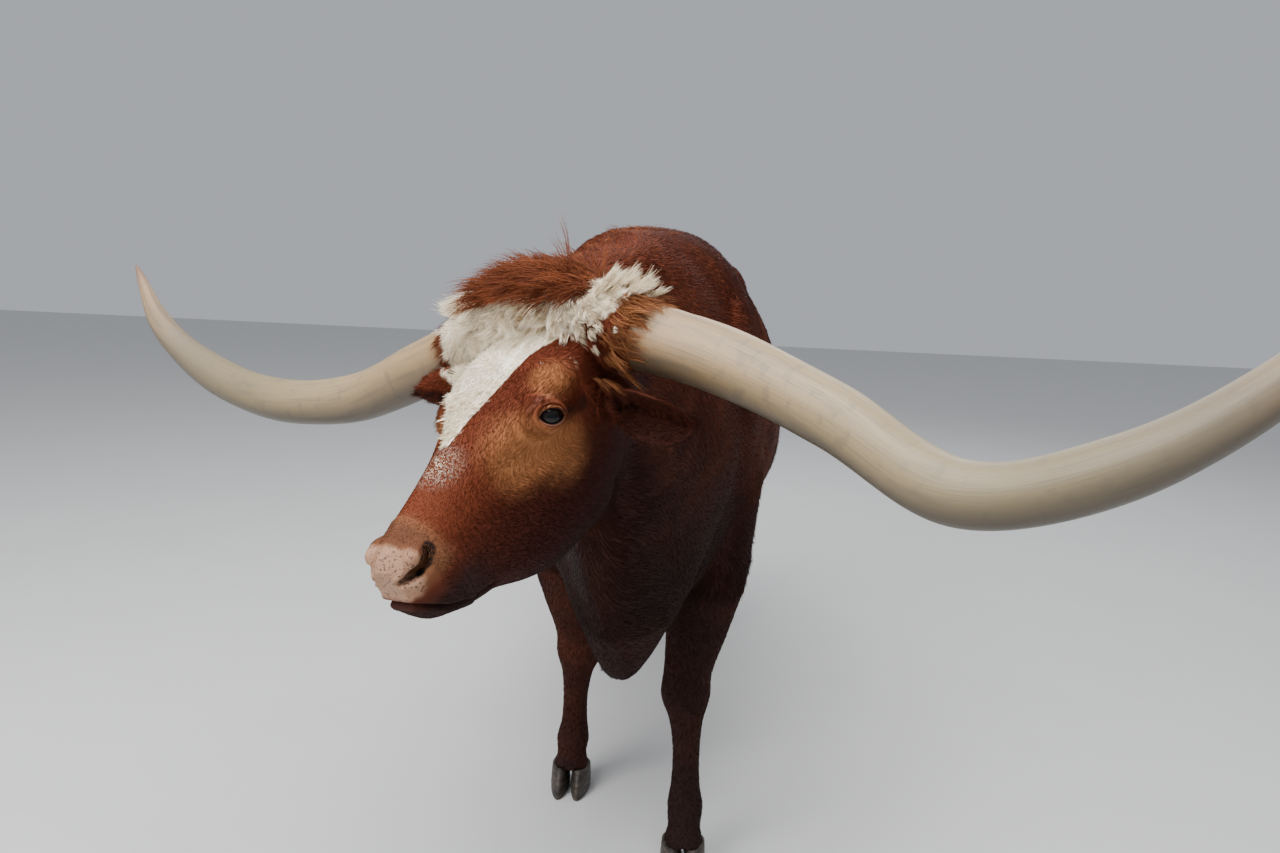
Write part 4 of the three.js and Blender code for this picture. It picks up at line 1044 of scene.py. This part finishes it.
def makeCamera():
    data = bpy.data.cameras.new("camera")
    data.lens, data.sensor_width = studio["lens"], 36
    camera = bpy.data.objects.new("camera", data)
    turns = [(studio["yaw"], "Z"), (90 - studio["pitch"], "X"), (studio["roll"], "Z")]
    yaw, tilt, roll = (Matrix.Rotation(math.radians(angle), 4, axis) for angle, axis in turns)
    camera.matrix_world = Matrix.Translation(placed([studio["eye"]])[0]) @ yaw @ tilt @ roll
    bpy.context.scene.collection.objects.link(camera)
    bpy.context.scene.camera = camera


# name, metres from the shoulders, watts, metres across
softBoxes = [("overhead", (-0.6, -1.2, 3.8), 330, 3.6), ("key", (-3.2, -3.0, 2.8), 150, 2.6), ("back", (1.5, 4.5, 3.5), 90, 3.0)]


def makeLights():
    world = bpy.data.worlds.new("soft")
    bpy.context.scene.world = world
    world.use_nodes = True
    background = world.node_tree.nodes["Background"]
    background.inputs[0].default_value = (0.88, 0.92, 1.0, 1)
    background.inputs[1].default_value = 0.5
    middle = placed([[0, -300, 900]])[0]
    for name, way, power, size in softBoxes:
        data = bpy.data.lights.new(name, "AREA")
        data.energy, data.size = power, size
        light = bpy.data.objects.new(name, data)
        light.location = Vector(middle) + Vector(way)
        light.rotation_euler = (-Vector(way)).to_track_quat("-Z", "Y").to_euler()
        bpy.context.scene.collection.objects.link(light)


# The coat: short tufts that lie along the body


def spread(points, tris, density, random):  # places on the skin, with a mean number per square metre at each corner
    a, b, c = (points[tris[:, k]] for k in range(3))
    area = np.linalg.norm(np.cross(b - a, c - a), axis=1) / 2
    wanted = area * density[tris].mean(1)
    count = np.floor(wanted + random.random(len(tris))).astype(int)
    face = np.repeat(np.arange(len(tris)), count)
    r, s = np.sqrt(random.random(len(face))), random.random(len(face))
    weights = np.stack([1 - r, r * (1 - s), r * s], -1)
    return face, weights


def joined(values, tris, face, weights):  # values at the corners carried to the places
    return (values[tris[face]] * (weights[..., None] if values.ndim > 1 else weights)).sum(1)


def unit(vectors):
    return vectors / np.maximum(np.linalg.norm(vectors, axis=-1, keepdims=True), 1e-9)


def lieOf(points):  # the way the hair lies, in the body's frame, before it is laid flat on the skin
    head = toHead(points)
    x, toNose, z = head[:, 0], -head[:, 1], head[:, 2]
    side = np.sign(x)
    trunk = np.stack([0.12 * np.sign(points[:, 0]), 0.9 + 0 * x, -0.55 + 0 * x], -1)
    down = np.stack([0 * x, 0.15 + 0 * x, -1 + 0 * x], -1)
    low = np.clip((760 - points[:, 2]) / 160, 0, 1)[:, None]
    way = trunk * (1 - low) + down * low
    onTail = ((points[:, 1] > 1440) & (np.abs(points[:, 0]) < 80))[:, None]
    way = np.where(onTail, [0, 0.1, -1], way)
    # face: towards the muzzle from between the eyes down, up to the poll above them, back and down on the cheeks
    up = np.clip((190 - toNose) / 80, 0, 1)[:, None]
    low = np.clip((-60 - z) / 60, 0, 1)[:, None]
    bridge = np.stack([0.15 * side, -1 + 0 * x, -0.1 + 0 * x], -1)
    poll = np.stack([0.35 * side, 1 + 0 * x, 0.1 + 0 * x], -1)
    cheek = np.stack([0 * x, 0.75 + 0 * x, -0.7 + 0 * x], -1)
    face = (bridge * (1 - up) + poll * up) * (1 - low) + cheek * low
    onFace = (np.clip(toNose / 40, 0, 1) * (np.abs(x) < 135))[:, None]
    way = way * (1 - onFace) + (face @ headTurn.T) * onFace
    onEar = earShare(head)[:, None]
    out = np.stack([side, 0.15 + 0 * x, -0.15 + 0 * x], -1) @ headTurn.T
    return unit(way * (1 - onEar) + out * onEar)


coat = {"seed": 5, "face": 195000, "poll": 60000, "ear": 120000, "neck": 30000, "trunk": 15500, "leg": 31000}


def coatDensity(points):
    head = toHead(points)
    toNose, z = -head[:, 1], head[:, 2]
    rate = np.interp(points[:, 1], [-220, 260], [coat["neck"], coat["trunk"]])
    rate = np.where(points[:, 2] < 620, coat["leg"], rate)
    near = (toNose > -30) & (z > -400) & (points[:, 1] < -300)
    rate = np.where(near & (toNose > -30), coat["poll"], rate)
    rate = np.where(near & (toNose > 90), coat["face"], rate)
    rate = np.where(earShare(head) > 0.3, coat["ear"], rate)
    bare = (toNose > 508) & (z > -150)
    return np.where(bare | (points[:, 2] < 66), 0, rate)


def tuftSize(points):  # length and width in millimetres
    head = toHead(points)
    toNose = -head[:, 1]
    onHead = (points[:, 1] < -300) & (toNose > -30) & (head[:, 2] > -400)
    far = np.clip((toNose - 60) / 400, 0, 1)
    length = np.where(onHead, 17 - 12 * far, 28.0)
    width = np.where(onHead, 1.4 - 0.7 * far, 3.0)
    length = np.where(points[:, 2] < 620, 11 - 3 * np.clip((300 - points[:, 2]) / 200, 0, 1), length)
    width = np.where(points[:, 2] < 620, 2.4, width)
    onEar = earShare(head) > 0.3
    return np.where(onEar, 12.0, length), np.where(onEar, 1.3, width)


def bakePlaces(points):  # an unwrap of the skin: trunk and neck, legs and head each laid out round their own axis
    head = toHead(points)
    x, y, z = points.T
    onHead = (y < -300) & (-head[:, 1] > -30) & (head[:, 2] > -400)
    onLeg = z < 620
    turn = lambda a, b: np.arctan2(a, b) / (2 * np.pi) + 0.5
    u = 0.02 + 0.96 * turn(z - 1000, x)
    v = 0.02 + 0.46 * np.clip((y + 640) / 2140, 0, 1)
    leg = (x > 0) + 2.0 * (y > 600)
    u = np.where(onLeg, 0.02 + 0.245 * leg + 0.21 * turn(y - np.where(y > 600, 1260, 20), np.abs(x) - 150), u)
    v = np.where(onLeg, 0.51 + 0.12 * z / 620, v)
    u = np.where(onHead, 0.02 + 0.96 * turn(head[:, 2] + 120, head[:, 0]), u)
    v = np.where(onHead, 0.65 + 0.33 * np.clip((-head[:, 1] + 30) / 600, 0, 1), v)
    return np.stack([u, v], -1)


def hairPiece(name, points, faces, places, fields, material):
    # points in millimetres, all of one row per tuft; places are each corner's spot in the bake map
    piece = makeObject(name, placed(points), faces)
    mesh = piece.data
    corners = np.empty(len(mesh.loops), np.int32)
    mesh.loops.foreach_get("vertex_index", corners)
    layer = mesh.uv_layers.new(name="OFBake")
    layer.data.foreach_set("uv", places[corners].astype(np.float32).ravel())
    for key, values in fields.items():
        mesh.attributes.new(key, "FLOAT", "POINT").data.foreach_set("value", values.astype(np.float32))
    piece.data.materials.append(material)
    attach(piece, "root")
    return piece


def rootsOn(piece, random):  # roots of tufts on a piece and the normals there
    mesh = piece.data
    mesh.calc_loop_triangles()
    tris = np.empty(len(mesh.loop_triangles) * 3, np.int32)
    mesh.loop_triangles.foreach_get("vertices", tris)
    tris = tris.reshape(-1, 3)
    corners = unplaced(meshArrays(mesh))
    density = coatDensity(corners)
    if "share" in mesh.attributes:  # lids: none on their rims, and fewer where they run under the skin
        share = np.empty(len(corners), np.float32)
        mesh.attributes["share"].data.foreach_get("value", share)
        density = density * np.clip((share - 0.10) / 0.15, 0, 1) * np.clip((0.97 - share) / 0.1, 0, 1)
    face, weights = spread(corners / 1000, tris, density, random)
    return joined(corners, tris, face, weights), unit(joined(vertexNormals(mesh), tris, face, weights))


def shortCoat(skin, lids, material):
    random = np.random.default_rng(coat["seed"])
    roots, normal = rootsOn(skin, random)
    clear = np.ones(len(roots), bool)
    for side, hand in (("left", 1), ("right", -1)):  # the lids have their own
        out, long, high = eyeAxes(hand)
        away = toHead(roots) - np.array(eyes[side], float)
        clear &= ((away @ long / 39) ** 2 + (away @ high / 33) ** 2 > 1) | (away @ out < -30)
    onLids = [rootsOn(piece, random) for piece in lids]
    roots = np.concatenate([roots[clear], *[pair[0] for pair in onLids]])
    normal = np.concatenate([normal[clear], *[pair[1] for pair in onLids]])
    count = len(roots)
    length, width = tuftSize(roots)
    length = length * random.uniform(0.7, 1.25, count)
    width = width * random.uniform(0.7, 1.2, count)
    way = lieOf(roots) + random.normal(0, 0.12, (count, 3))
    # waves of the lie, so that the coat parts and swirls a little
    way += 0.22 * np.stack([np.sin(roots[:, 1] / 61 + roots[:, 2] / 47), np.sin(roots[:, 2] / 53 + roots[:, 0] / 39),
                            np.sin(roots[:, 0] / 67 - roots[:, 1] / 43)], -1)
    way = unit(way - (way * normal).sum(1, keepdims=True) * normal)
    across = np.cross(normal, way)
    onFace = (roots[:, 1] < -300) & (-toHead(roots)[:, 1] > 60)
    lift = (random.uniform(0.06, 0.2, count) * np.where(onFace, 0.7, 1))[:, None]
    tip = roots + (way + lift * normal) * length[:, None]
    base = roots - normal * 0.5
    half = width[:, None] / 2
    hump = base + normal * (0.5 + half * 0.8) + way * half
    points = np.stack([base - across * half, base + across * half, hump, tip], 1)
    tone = np.repeat(random.random(count)[:, None], 4, 1)
    along = np.tile([0.0, 0.0, 0.15, 1.0], (count, 1))
    patch = 0.0015 * np.array([[-1, -1], [1, -1], [0, 0], [0, 1]])
    places = bakePlaces(roots)[:, None] + patch[None]
    print("short tufts:", count)
    # pieces by place, each under the limit of triangles
    head = toHead(roots)
    onHead = (roots[:, 1] < -300) & (-head[:, 1] > -30) & (head[:, 2] > -400)
    x, y, z = head[:, 0], roots[:, 1], roots[:, 2]
    group = np.select([onHead & (x > 30), onHead & (x < -30), onHead, z < 620, y < -100, y < 620], [0, 1, 2, 3, 4, 5], 6)
    names = ["coatFaceLeft", "coatFaceRight", "coatForehead", "coatLegs", "coatNeck", "coatShoulders", "coatRump"]
    for k, name in enumerate(names):
        chosen = np.flatnonzero(group == k)
        for part, some in enumerate(np.array_split(chosen, max(1, math.ceil(len(chosen) / 48000)))):
            start = np.arange(len(some))[:, None, None] * 4
            faces = (start + np.array([[0, 1, 2], [1, 3, 2], [3, 0, 2], [0, 3, 1]])[None]).reshape(-1, 3)
            hairPiece(name + str(part), points[some].reshape(-1, 3), faces, places[some].reshape(-1, 2),
                      {"tone": tone[some].ravel(), "along": along[some].ravel()}, material)


# Long hair: clumps of thin strands, each of three sides and drawn to a point


def strands(roots, paths, width, random):
    # paths hold each strand's places along its length; a three-sided tube narrows to the last one
    count, steps = paths.shape[:2]
    tangent = unit(np.gradient(paths, axis=1))
    across = unit(np.cross(tangent, random.normal(0, 1, (count, 1, 3)) + np.array([0.3, 0.2, 1.0])))
    lift = np.cross(across, tangent)
    share = np.linspace(0, 1, steps)
    half = width[:, None] / 2 * (1 - share**1.6)[None] * (0.75 + 0.5 * np.sin(np.pi * share)[None])
    turn = turnsOf(3)
    ring = across[:, :, None] * np.cos(turn)[:, None] + lift[:, :, None] * np.sin(turn)[:, None]
    tube = paths[:, :-1, None] + ring[:, :-1] * half[:, :-1, None, None]
    points = np.concatenate([tube.reshape(count, -1, 3), paths[:, -1:]], 1)
    faces = []
    for r in range(steps - 2):
        for i in range(3):
            j = (i + 1) % 3
            a, b, c, d = r * 3 + i, r * 3 + j, r * 3 + 3 + j, r * 3 + 3 + i
            faces += [[a, c, b], [a, d, c]]
    last, tip = (steps - 2) * 3, (steps - 1) * 3
    faces += [[last + i, tip, last + (i + 1) % 3] for i in range(3)] + [[0, 1, 2]]
    starts = np.arange(count)[:, None, None] * points.shape[1]
    faces = (starts + np.array(faces)[None]).reshape(-1, 3)
    along = np.concatenate([np.repeat(share[:-1], 3), [1.0]])
    side = np.concatenate([np.tile([-1.0, 1.0, 0.0], steps - 1), [0.0]])
    patch = 0.0015 * np.stack([side * (1 - along), 2 * along - 1], -1)
    places = bakePlaces(roots)[:, None] + patch[None]
    return points.reshape(-1, 3), faces, places.reshape(-1, 2), np.tile(along, count)


def skinPlaces(tree, froms, aims):  # where rays from given places, in the given ways, meet the skin
    places, normals, kept = [], [], []
    starts = placed(froms)
    for k in range(len(starts)):
        hit = tree.ray_cast(Vector(starts[k]), Vector(aims[k]), 0.6)
        if hit[0] is not None:
            places.append(hit[0])
            normals.append(hit[1])
            kept.append(k)
    return unplaced(np.array([list(p) for p in places])), np.array([list(n) for n in normals]), np.array(kept)


def clumped(clumpRoots, clumpNormals, ways, make, random):
    # each clump's strands start round its root and draw together towards its tip
    # make holds: strands, spread, length, width, rise, fall, wave, gather, and where they differ, steps and stray
    n, m, steps = len(clumpRoots), make["strands"], make.get("steps", 5)
    normal, way = clumpNormals[:, None], unit(ways)[:, None]
    side = np.cross(normal, way)
    r = make["spread"] * np.sqrt(random.random((n, m, 1)))
    turn = random.uniform(0, 2 * np.pi, (n, m, 1))
    offset = side * r * np.cos(turn) + way * r * np.sin(turn)
    roots = clumpRoots[:, None] + offset - normal * 2.5
    length = make["length"] * random.uniform(0.65, 1.2, (n, 1, 1)) * random.uniform(0.8, 1.1, (n, m, 1))
    jitter = random.normal(0, 0.10, (n, m, 3)) + random.normal(0, make.get("stray", 0.18), (n, 1, 3))
    phase = random.uniform(0, 6.28, (n, 1, 1)) + random.normal(0, 0.35, (n, m, 1))
    t = np.linspace(0, 1, steps)[None, None, :, None]
    length, phase = length[:, :, None], phase[:, :, None]
    start = roots[:, :, None] - offset[:, :, None] * make["gather"] * t**1.3
    forward = (way[:, :, None] + jitter[:, :, None]) * t * length
    height = normal[:, :, None] * length * (make["rise"] * t - make["fall"] * t**2)
    sway = side[:, :, None] * np.sin(phase + t * 4.2) * make["wave"] * t
    paths = (start + forward + height + sway).reshape(n * m, steps, 3)
    width = make["width"] * random.uniform(0.7, 1.2, n * m)
    tone = np.clip(np.repeat(random.random(n), m) * 0.6 + random.random(n * m) * 0.4, 0, 1)
    return roots.reshape(-1, 3), paths, width, tone


# lengths, widths and spreads in millimetres; steps and stray stand only where they differ from the rest
hairKinds = {
    "crownHair": {"strands": 17, "spread": 10, "length": 66, "width": 1.15,
        "rise": 0.8, "fall": 0.62, "wave": 6, "gather": 0.55},
    "crownWisps": {"strands": 9, "spread": 6, "length": 50, "width": 0.9,
        "rise": 0.9, "fall": 0.35, "wave": 8, "gather": 0.75, "stray": 0.3},
    "foreheadHair": {"strands": 14, "steps": 4, "spread": 9, "length": 28, "width": 1.0,
        "rise": 0.32, "fall": 0.28, "wave": 3, "gather": 0.4},
    "blazeHair": {"strands": 7, "steps": 4, "spread": 7, "length": 15, "width": 0.85,
        "rise": 0.22, "fall": 0.16, "wave": 1.5, "gather": 0.4, "stray": 0.25},
    "hornTuft": {"strands": 18, "spread": 10, "length": 34, "width": 0.95,
        "rise": 0.5, "fall": 0.35, "wave": 4, "gather": 0.5},
    "rootFront": {"strands": 15, "steps": 4, "spread": 9, "length": 22, "width": 0.9,
        "rise": 0.3, "fall": 0.25, "wave": 2, "gather": 0.4},
    "hornSkirt": {"strands": 18, "spread": 10, "length": 46, "width": 1.0,
        "rise": 0.3, "fall": 0.28, "wave": 6, "gather": 0.45},
    "ear": {"strands": 13, "steps": 4, "spread": 6, "length": 15, "width": 0.8,
        "rise": 0.3, "fall": 0.3, "wave": 2, "gather": 0.3},
    "switchHair": {"strands": 20, "steps": 6, "spread": 9, "length": 150, "width": 1.5,
        "rise": 0.2, "fall": 0.22, "wave": 9, "gather": 0.6},
    "neckRidge": {"strands": 16, "spread": 14, "length": 42, "width": 1.1,
        "rise": 0.5, "fall": 0.42, "wave": 5, "gather": 0.5},
    "throatFringe": {"strands": 12, "steps": 4, "spread": 12, "length": 20, "width": 1.0,
        "rise": 0.4, "fall": 0.3, "wave": 3, "gather": 0.4},
}


def longHair(name, clumps, make, material, random):  # the clumps' strands as one piece
    roots, normals, ways = clumps
    roots, paths, width, tone = clumped(roots, normals, ways, make, random)
    points, faces, places, along = strands(roots, paths, width, random)
    perStrand = len(points) // len(tone)
    print(name, "strands:", len(tone), "triangles:", len(faces))
    fields = {"tone": np.repeat(tone, perStrand), "along": along}
    return hairPiece(name, points, faces, places, fields, material)


def headClumps(tree, spots, look, way, random, jitter=4.0):  # clumps where rays in the head's frame meet the skin
    spots = np.asarray(spots, float) + random.normal(0, jitter, (len(spots), 3))
    look = np.asarray(look, float)
    froms = fromHead(spots - unit(look) * 150)
    aims = np.repeat((unit(look) @ headTurn.T)[None], len(spots), 0)
    roots, normals, kept = skinPlaces(tree, froms, aims)
    ways = (np.broadcast_to(np.asarray(way, float), spots.shape)[kept]) @ headTurn.T
    return roots, normals, ways


def axisClumps(tree, centres, axes, turns, reach, way):
    # clumps round an axis, where rays towards it meet the skin, all in the body's frame
    # way holds shares of the axis, of the outward direction and of the world's down
    centres, axes = np.asarray(centres, float), unit(np.asarray(axes, float))
    side = unit(np.cross(axes, [0.1, 0.2, 1.0]))
    lift = np.cross(side, axes)
    turns = np.asarray(turns, float)[:, None]
    out = side * np.cos(turns) + lift * np.sin(turns)
    roots, normals, kept = skinPlaces(tree, centres + out * reach, -out)
    ways = axes[kept] * way[0] + out[kept] * way[1] + np.array([0, 0, -1.0]) * way[2]
    return roots, normals, ways


def allLongHair(skin, red, rust, white, brown, dark):
    random = np.random.default_rng(11)
    tree = BVHTree.FromObject(skin, bpy.context.evaluated_depsgraph_get())
    # crown: combed from the animal's left to its right over the poll
    x, back = np.meshgrid(np.linspace(-92, 112, 28), np.linspace(-48, 44, 12), indexing="ij")
    x, back = x.ravel() + random.uniform(-5, 5, x.size), back.ravel() + random.uniform(-5, 5, x.size)
    spots = np.stack([x, back, 60 + 0 * x], -1)
    way = np.stack([-0.9 + 0 * x, np.clip(back / 60, -0.7, 0.7) - 0.15, 0.0 * x], -1)
    clumps = headClumps(tree, spots, [0, 0.2, -1], way, random)
    longHair("crownHair", clumps, hairKinds["crownHair"], red, random)
    # a few wisps that stand up from the crown
    x = random.uniform(50, 118, 9)
    spots = np.stack([x, random.uniform(-10, 44, 9), 60 + 0 * x], -1)
    way = np.stack([-0.4 + 0 * x, 0.3 + 0 * x, 0.4 + 0 * x], -1)
    clumps = headClumps(tree, spots, [0, 0.2, -1], way, random)
    longHair("crownWisps", clumps, hairKinds["crownWisps"], red, random)
    # white hair of the forehead, from the crown's front edge down
    x, nose = np.meshgrid(np.linspace(-120, 128, 30), np.linspace(40, 104, 8), indexing="ij")
    x, nose = x.ravel() + random.uniform(-5, 5, x.size), nose.ravel() + random.uniform(-5, 5, x.size)
    spots = np.stack([x, -nose, 60 + 0 * x], -1)
    way = np.stack([0.25 * np.sign(x) * np.abs(x / 60), -0.4 + 0 * x, -0.05 + 0 * x], -1)
    clumps = headClumps(tree, spots, [0, 0.2, -1], way, random)
    longHair("foreheadHair", clumps, hairKinds["foreheadHair"], white, random)
    # shorter white hair down the blaze, up towards the crown above the eyes and down towards the nose below them
    x, nose = random.uniform(-112, 110, 1500), random.uniform(95, 335, 1500)
    inside = nose < 1000 * np.interp(x / 1000, *np.array(blaze).T) - 9
    x, nose = x[inside], nose[inside]
    spots = np.stack([x, -nose, 60 + 0 * x], -1)
    up = np.clip((215 - nose) / 60, -1, 1)
    way = np.stack([0.35 * x / 60, up, -0.15 * up], -1)
    clumps = headClumps(tree, spots, [0, 0, -1], way, random, 2.0)
    longHair("blazeHair", clumps, hairKinds["blazeHair"], white, random)
    for side, hand in (("left", 1), ("right", -1)):
        ends, tangents, _ = curveAt(horns[side], [0, horns["skirtReach"][side]])
        axis = tangents[1]
        bodyAxis = headTurn @ axis
        # white tuft on top of the horn's root, low and laid out along it
        n = 80
        along = random.uniform(-96, -26, n)
        centres = fromHead(ends[1] + along[:, None] * axis)
        turns = random.normal(1.3 if hand > 0 else 1.85, 0.55, n)
        clumps = axisClumps(tree, centres, np.repeat(bodyAxis[None], n, 0), turns, 160, (0.7, 0.55, -0.1))
        longHair("hornTuft_" + side, clumps, hairKinds["hornTuft"], white, random)
        # white front of the horn's root, short on the near side and down to the ear on the far one
        n = 90 if hand < 0 else 50
        along = random.uniform(-110, -14 if hand < 0 else -62, n)
        centres = fromHead(ends[1] + along[:, None] * axis)
        turns = random.normal(3.1 if hand < 0 else 0.15, 0.5, n)
        clumps = axisClumps(tree, centres, np.repeat(bodyAxis[None], n, 0), turns, 160, (0.5, 0.1, 0.5))
        longHair("rootFront_" + side, clumps, hairKinds["rootFront"], white, random)
        # red skirt lying out over the horn's root
        n = 150 if hand > 0 else 70
        along = random.uniform(-50, -2, n) if hand > 0 else random.uniform(-12, -1, n)
        centres = fromHead(ends[1] + along[:, None] * axis)
        turns = random.uniform(0, 2 * np.pi, n)
        clumps = axisClumps(tree, centres, np.repeat(bodyAxis[None], n, 0), turns, 160, (1.0, 0.03, 0.3))
        above = toHead(clumps[0])[:, 2] > -74  # clear of the ear
        clumps = [part[above] for part in clumps]
        make = {**hairKinds["hornSkirt"], "length": 46 if hand > 0 else 26}
        longHair("hornSkirt_" + side, clumps, make, rust if hand > 0 else red, random)
        # fringe along the ear's edges, and darker hair inside it
        axis = body["leftEar"] if hand > 0 else body["rightEar"]
        for name, n, first, length, tint in (("earRim_", 120, np.pi / 2, 15, brown), ("earInside_", 60, 0, 14, dark)):
            place, tangent, _ = curveAt(axis, random.uniform(0.12, 0.98, n))
            turns = first + np.pi * random.integers(0, 2, n) + random.normal(0, 0.3, n)
            clumps = axisClumps(tree, fromHead(place), tangent @ headTurn.T, turns, 90, (0.7, 0.25, 0.3))
            onEar = earShare(toHead(clumps[0])) > 0.2
            clumps = [part[onEar] for part in clumps]
            make = {**hairKinds["ear"], "length": length}
            longHair(name + side, clumps, make, tint, random)
    # switch of the tail
    n = 150
    share = np.sqrt(random.uniform(0.64**2, 0.97**2, n))
    place, tangent, _ = curveAt(body["tail"], share)
    clumps = axisClumps(tree, place, tangent, random.uniform(0, 2 * np.pi, n), 120, (1.0, 0.14, 0.3))
    longHair("switchHair", clumps, hairKinds["switchHair"], red, random)
    # shaggy ridge along the top of the neck
    n = 170
    y = random.uniform(-560, 40, n)
    x = random.normal(0, 26, n) + np.interp(y, [-560, -120, 40], [-90, -5, 0])
    froms = np.stack([x, y, np.full(n, 1650.0)], -1)
    roots, normals, kept = skinPlaces(tree, froms, np.repeat([[0.0, 0, -1]], n, 0))
    ways = np.stack([np.sign(random.normal(0, 1, len(kept))) * 0.5, 0.9 + 0 * kept, -0.1 + 0 * kept], -1)
    longHair("neckRidge", (roots, normals, ways), hairKinds["neckRidge"], red, random)
    # fringe under the throat and brisket, in dark hair that is partly painted shade, as on the chest
    n = 150
    y = random.uniform(-520, -60, n)
    x = random.normal(0, 9, n) + np.interp(y, [-520, -120, 0], [-62, -5, 0])
    roots, normals, kept = skinPlaces(tree, np.stack([x, y, np.full(n, 250.0)], -1), np.repeat([[0.0, 0, 1]], n, 0))
    ways = np.stack([0 * kept, 0.6 + 0 * kept, -0.35 + 0 * kept], -1)
    longHair("throatFringe", (roots, normals, ways), hairKinds["throatFringe"], dark, random)


def coatMaterial(name, tint):  # tint is None for the markings of the skin, or one colour for long hair
    sheet = Sheet(name)
    tone = sheet.node("ShaderNodeAttribute", {"attribute_name": "tone"}, {}, "Fac")
    along = sheet.node("ShaderNodeAttribute", {"attribute_name": "along"}, {}, "Fac")
    color = markedCoat(sheet)[0] if tint is None else sheet.mixed(tone, tint[0], tint[1])
    shade = 0.72 + tone * 0.38 + along * 0.2
    grey = sheet.node("ShaderNodeCombineColor", {}, [shade, shade, shade])
    product = {"data_type": "RGBA", "blend_type": "MULTIPLY"}
    color = sheet.node("ShaderNodeMix", product, {0: 1.0, 6: color, 7: grey}, 2)
    return sheet.finish(color, 0.68 - along * 0.08, None, **{"Specular IOR Level": 0.12})


makeCamera()
makeLights()
makeFloor()
skin = makeSkin()
hide = skinMaterial()
skin.data.materials.clear()
skin.data.materials.append(hide)
lids = []
for side, hand in (("left", 1), ("right", -1)):
    eyePiece(side, hand).data.materials.append(eyeMaterial(side, hand))
    lids.append(lidPiece(skin, side, hand))
    lids[-1].data.materials.append(lidMaterial(side, hand))
keratin = hornMaterial()
for side in ("left", "right"):
    hornPiece(side).data.materials.append(keratin)
hoof = hoofMaterial()
for piece in hoofPieces():
    piece.data.materials.append(hoof)
print("pieces done")
shortCoat(skin, lids, coatMaterial("shortCoat", None))
redHair = coatMaterial("redHair", ((0.070, 0.014, 0.006), (0.27, 0.078, 0.028)))
rustHair = coatMaterial("rustHair", ((0.065, 0.014, 0.006), (0.38, 0.15, 0.055)))
whiteHair = coatMaterial("whiteHair", (colors["cream"], colors["white"]))
darkHair = coatMaterial("darkHair", (colors["dark"], colors["deepRed"]))
for side, hand in (("left", 1), ("right", -1)):
    lashPiece(side, hand, darkHair)
earHair = coatMaterial("earHair", ((0.022, 0.007, 0.005), (0.12, 0.032, 0.015)))
allLongHair(skin, redHair, rustHair, whiteHair, earHair, darkHair)
print("coat done")
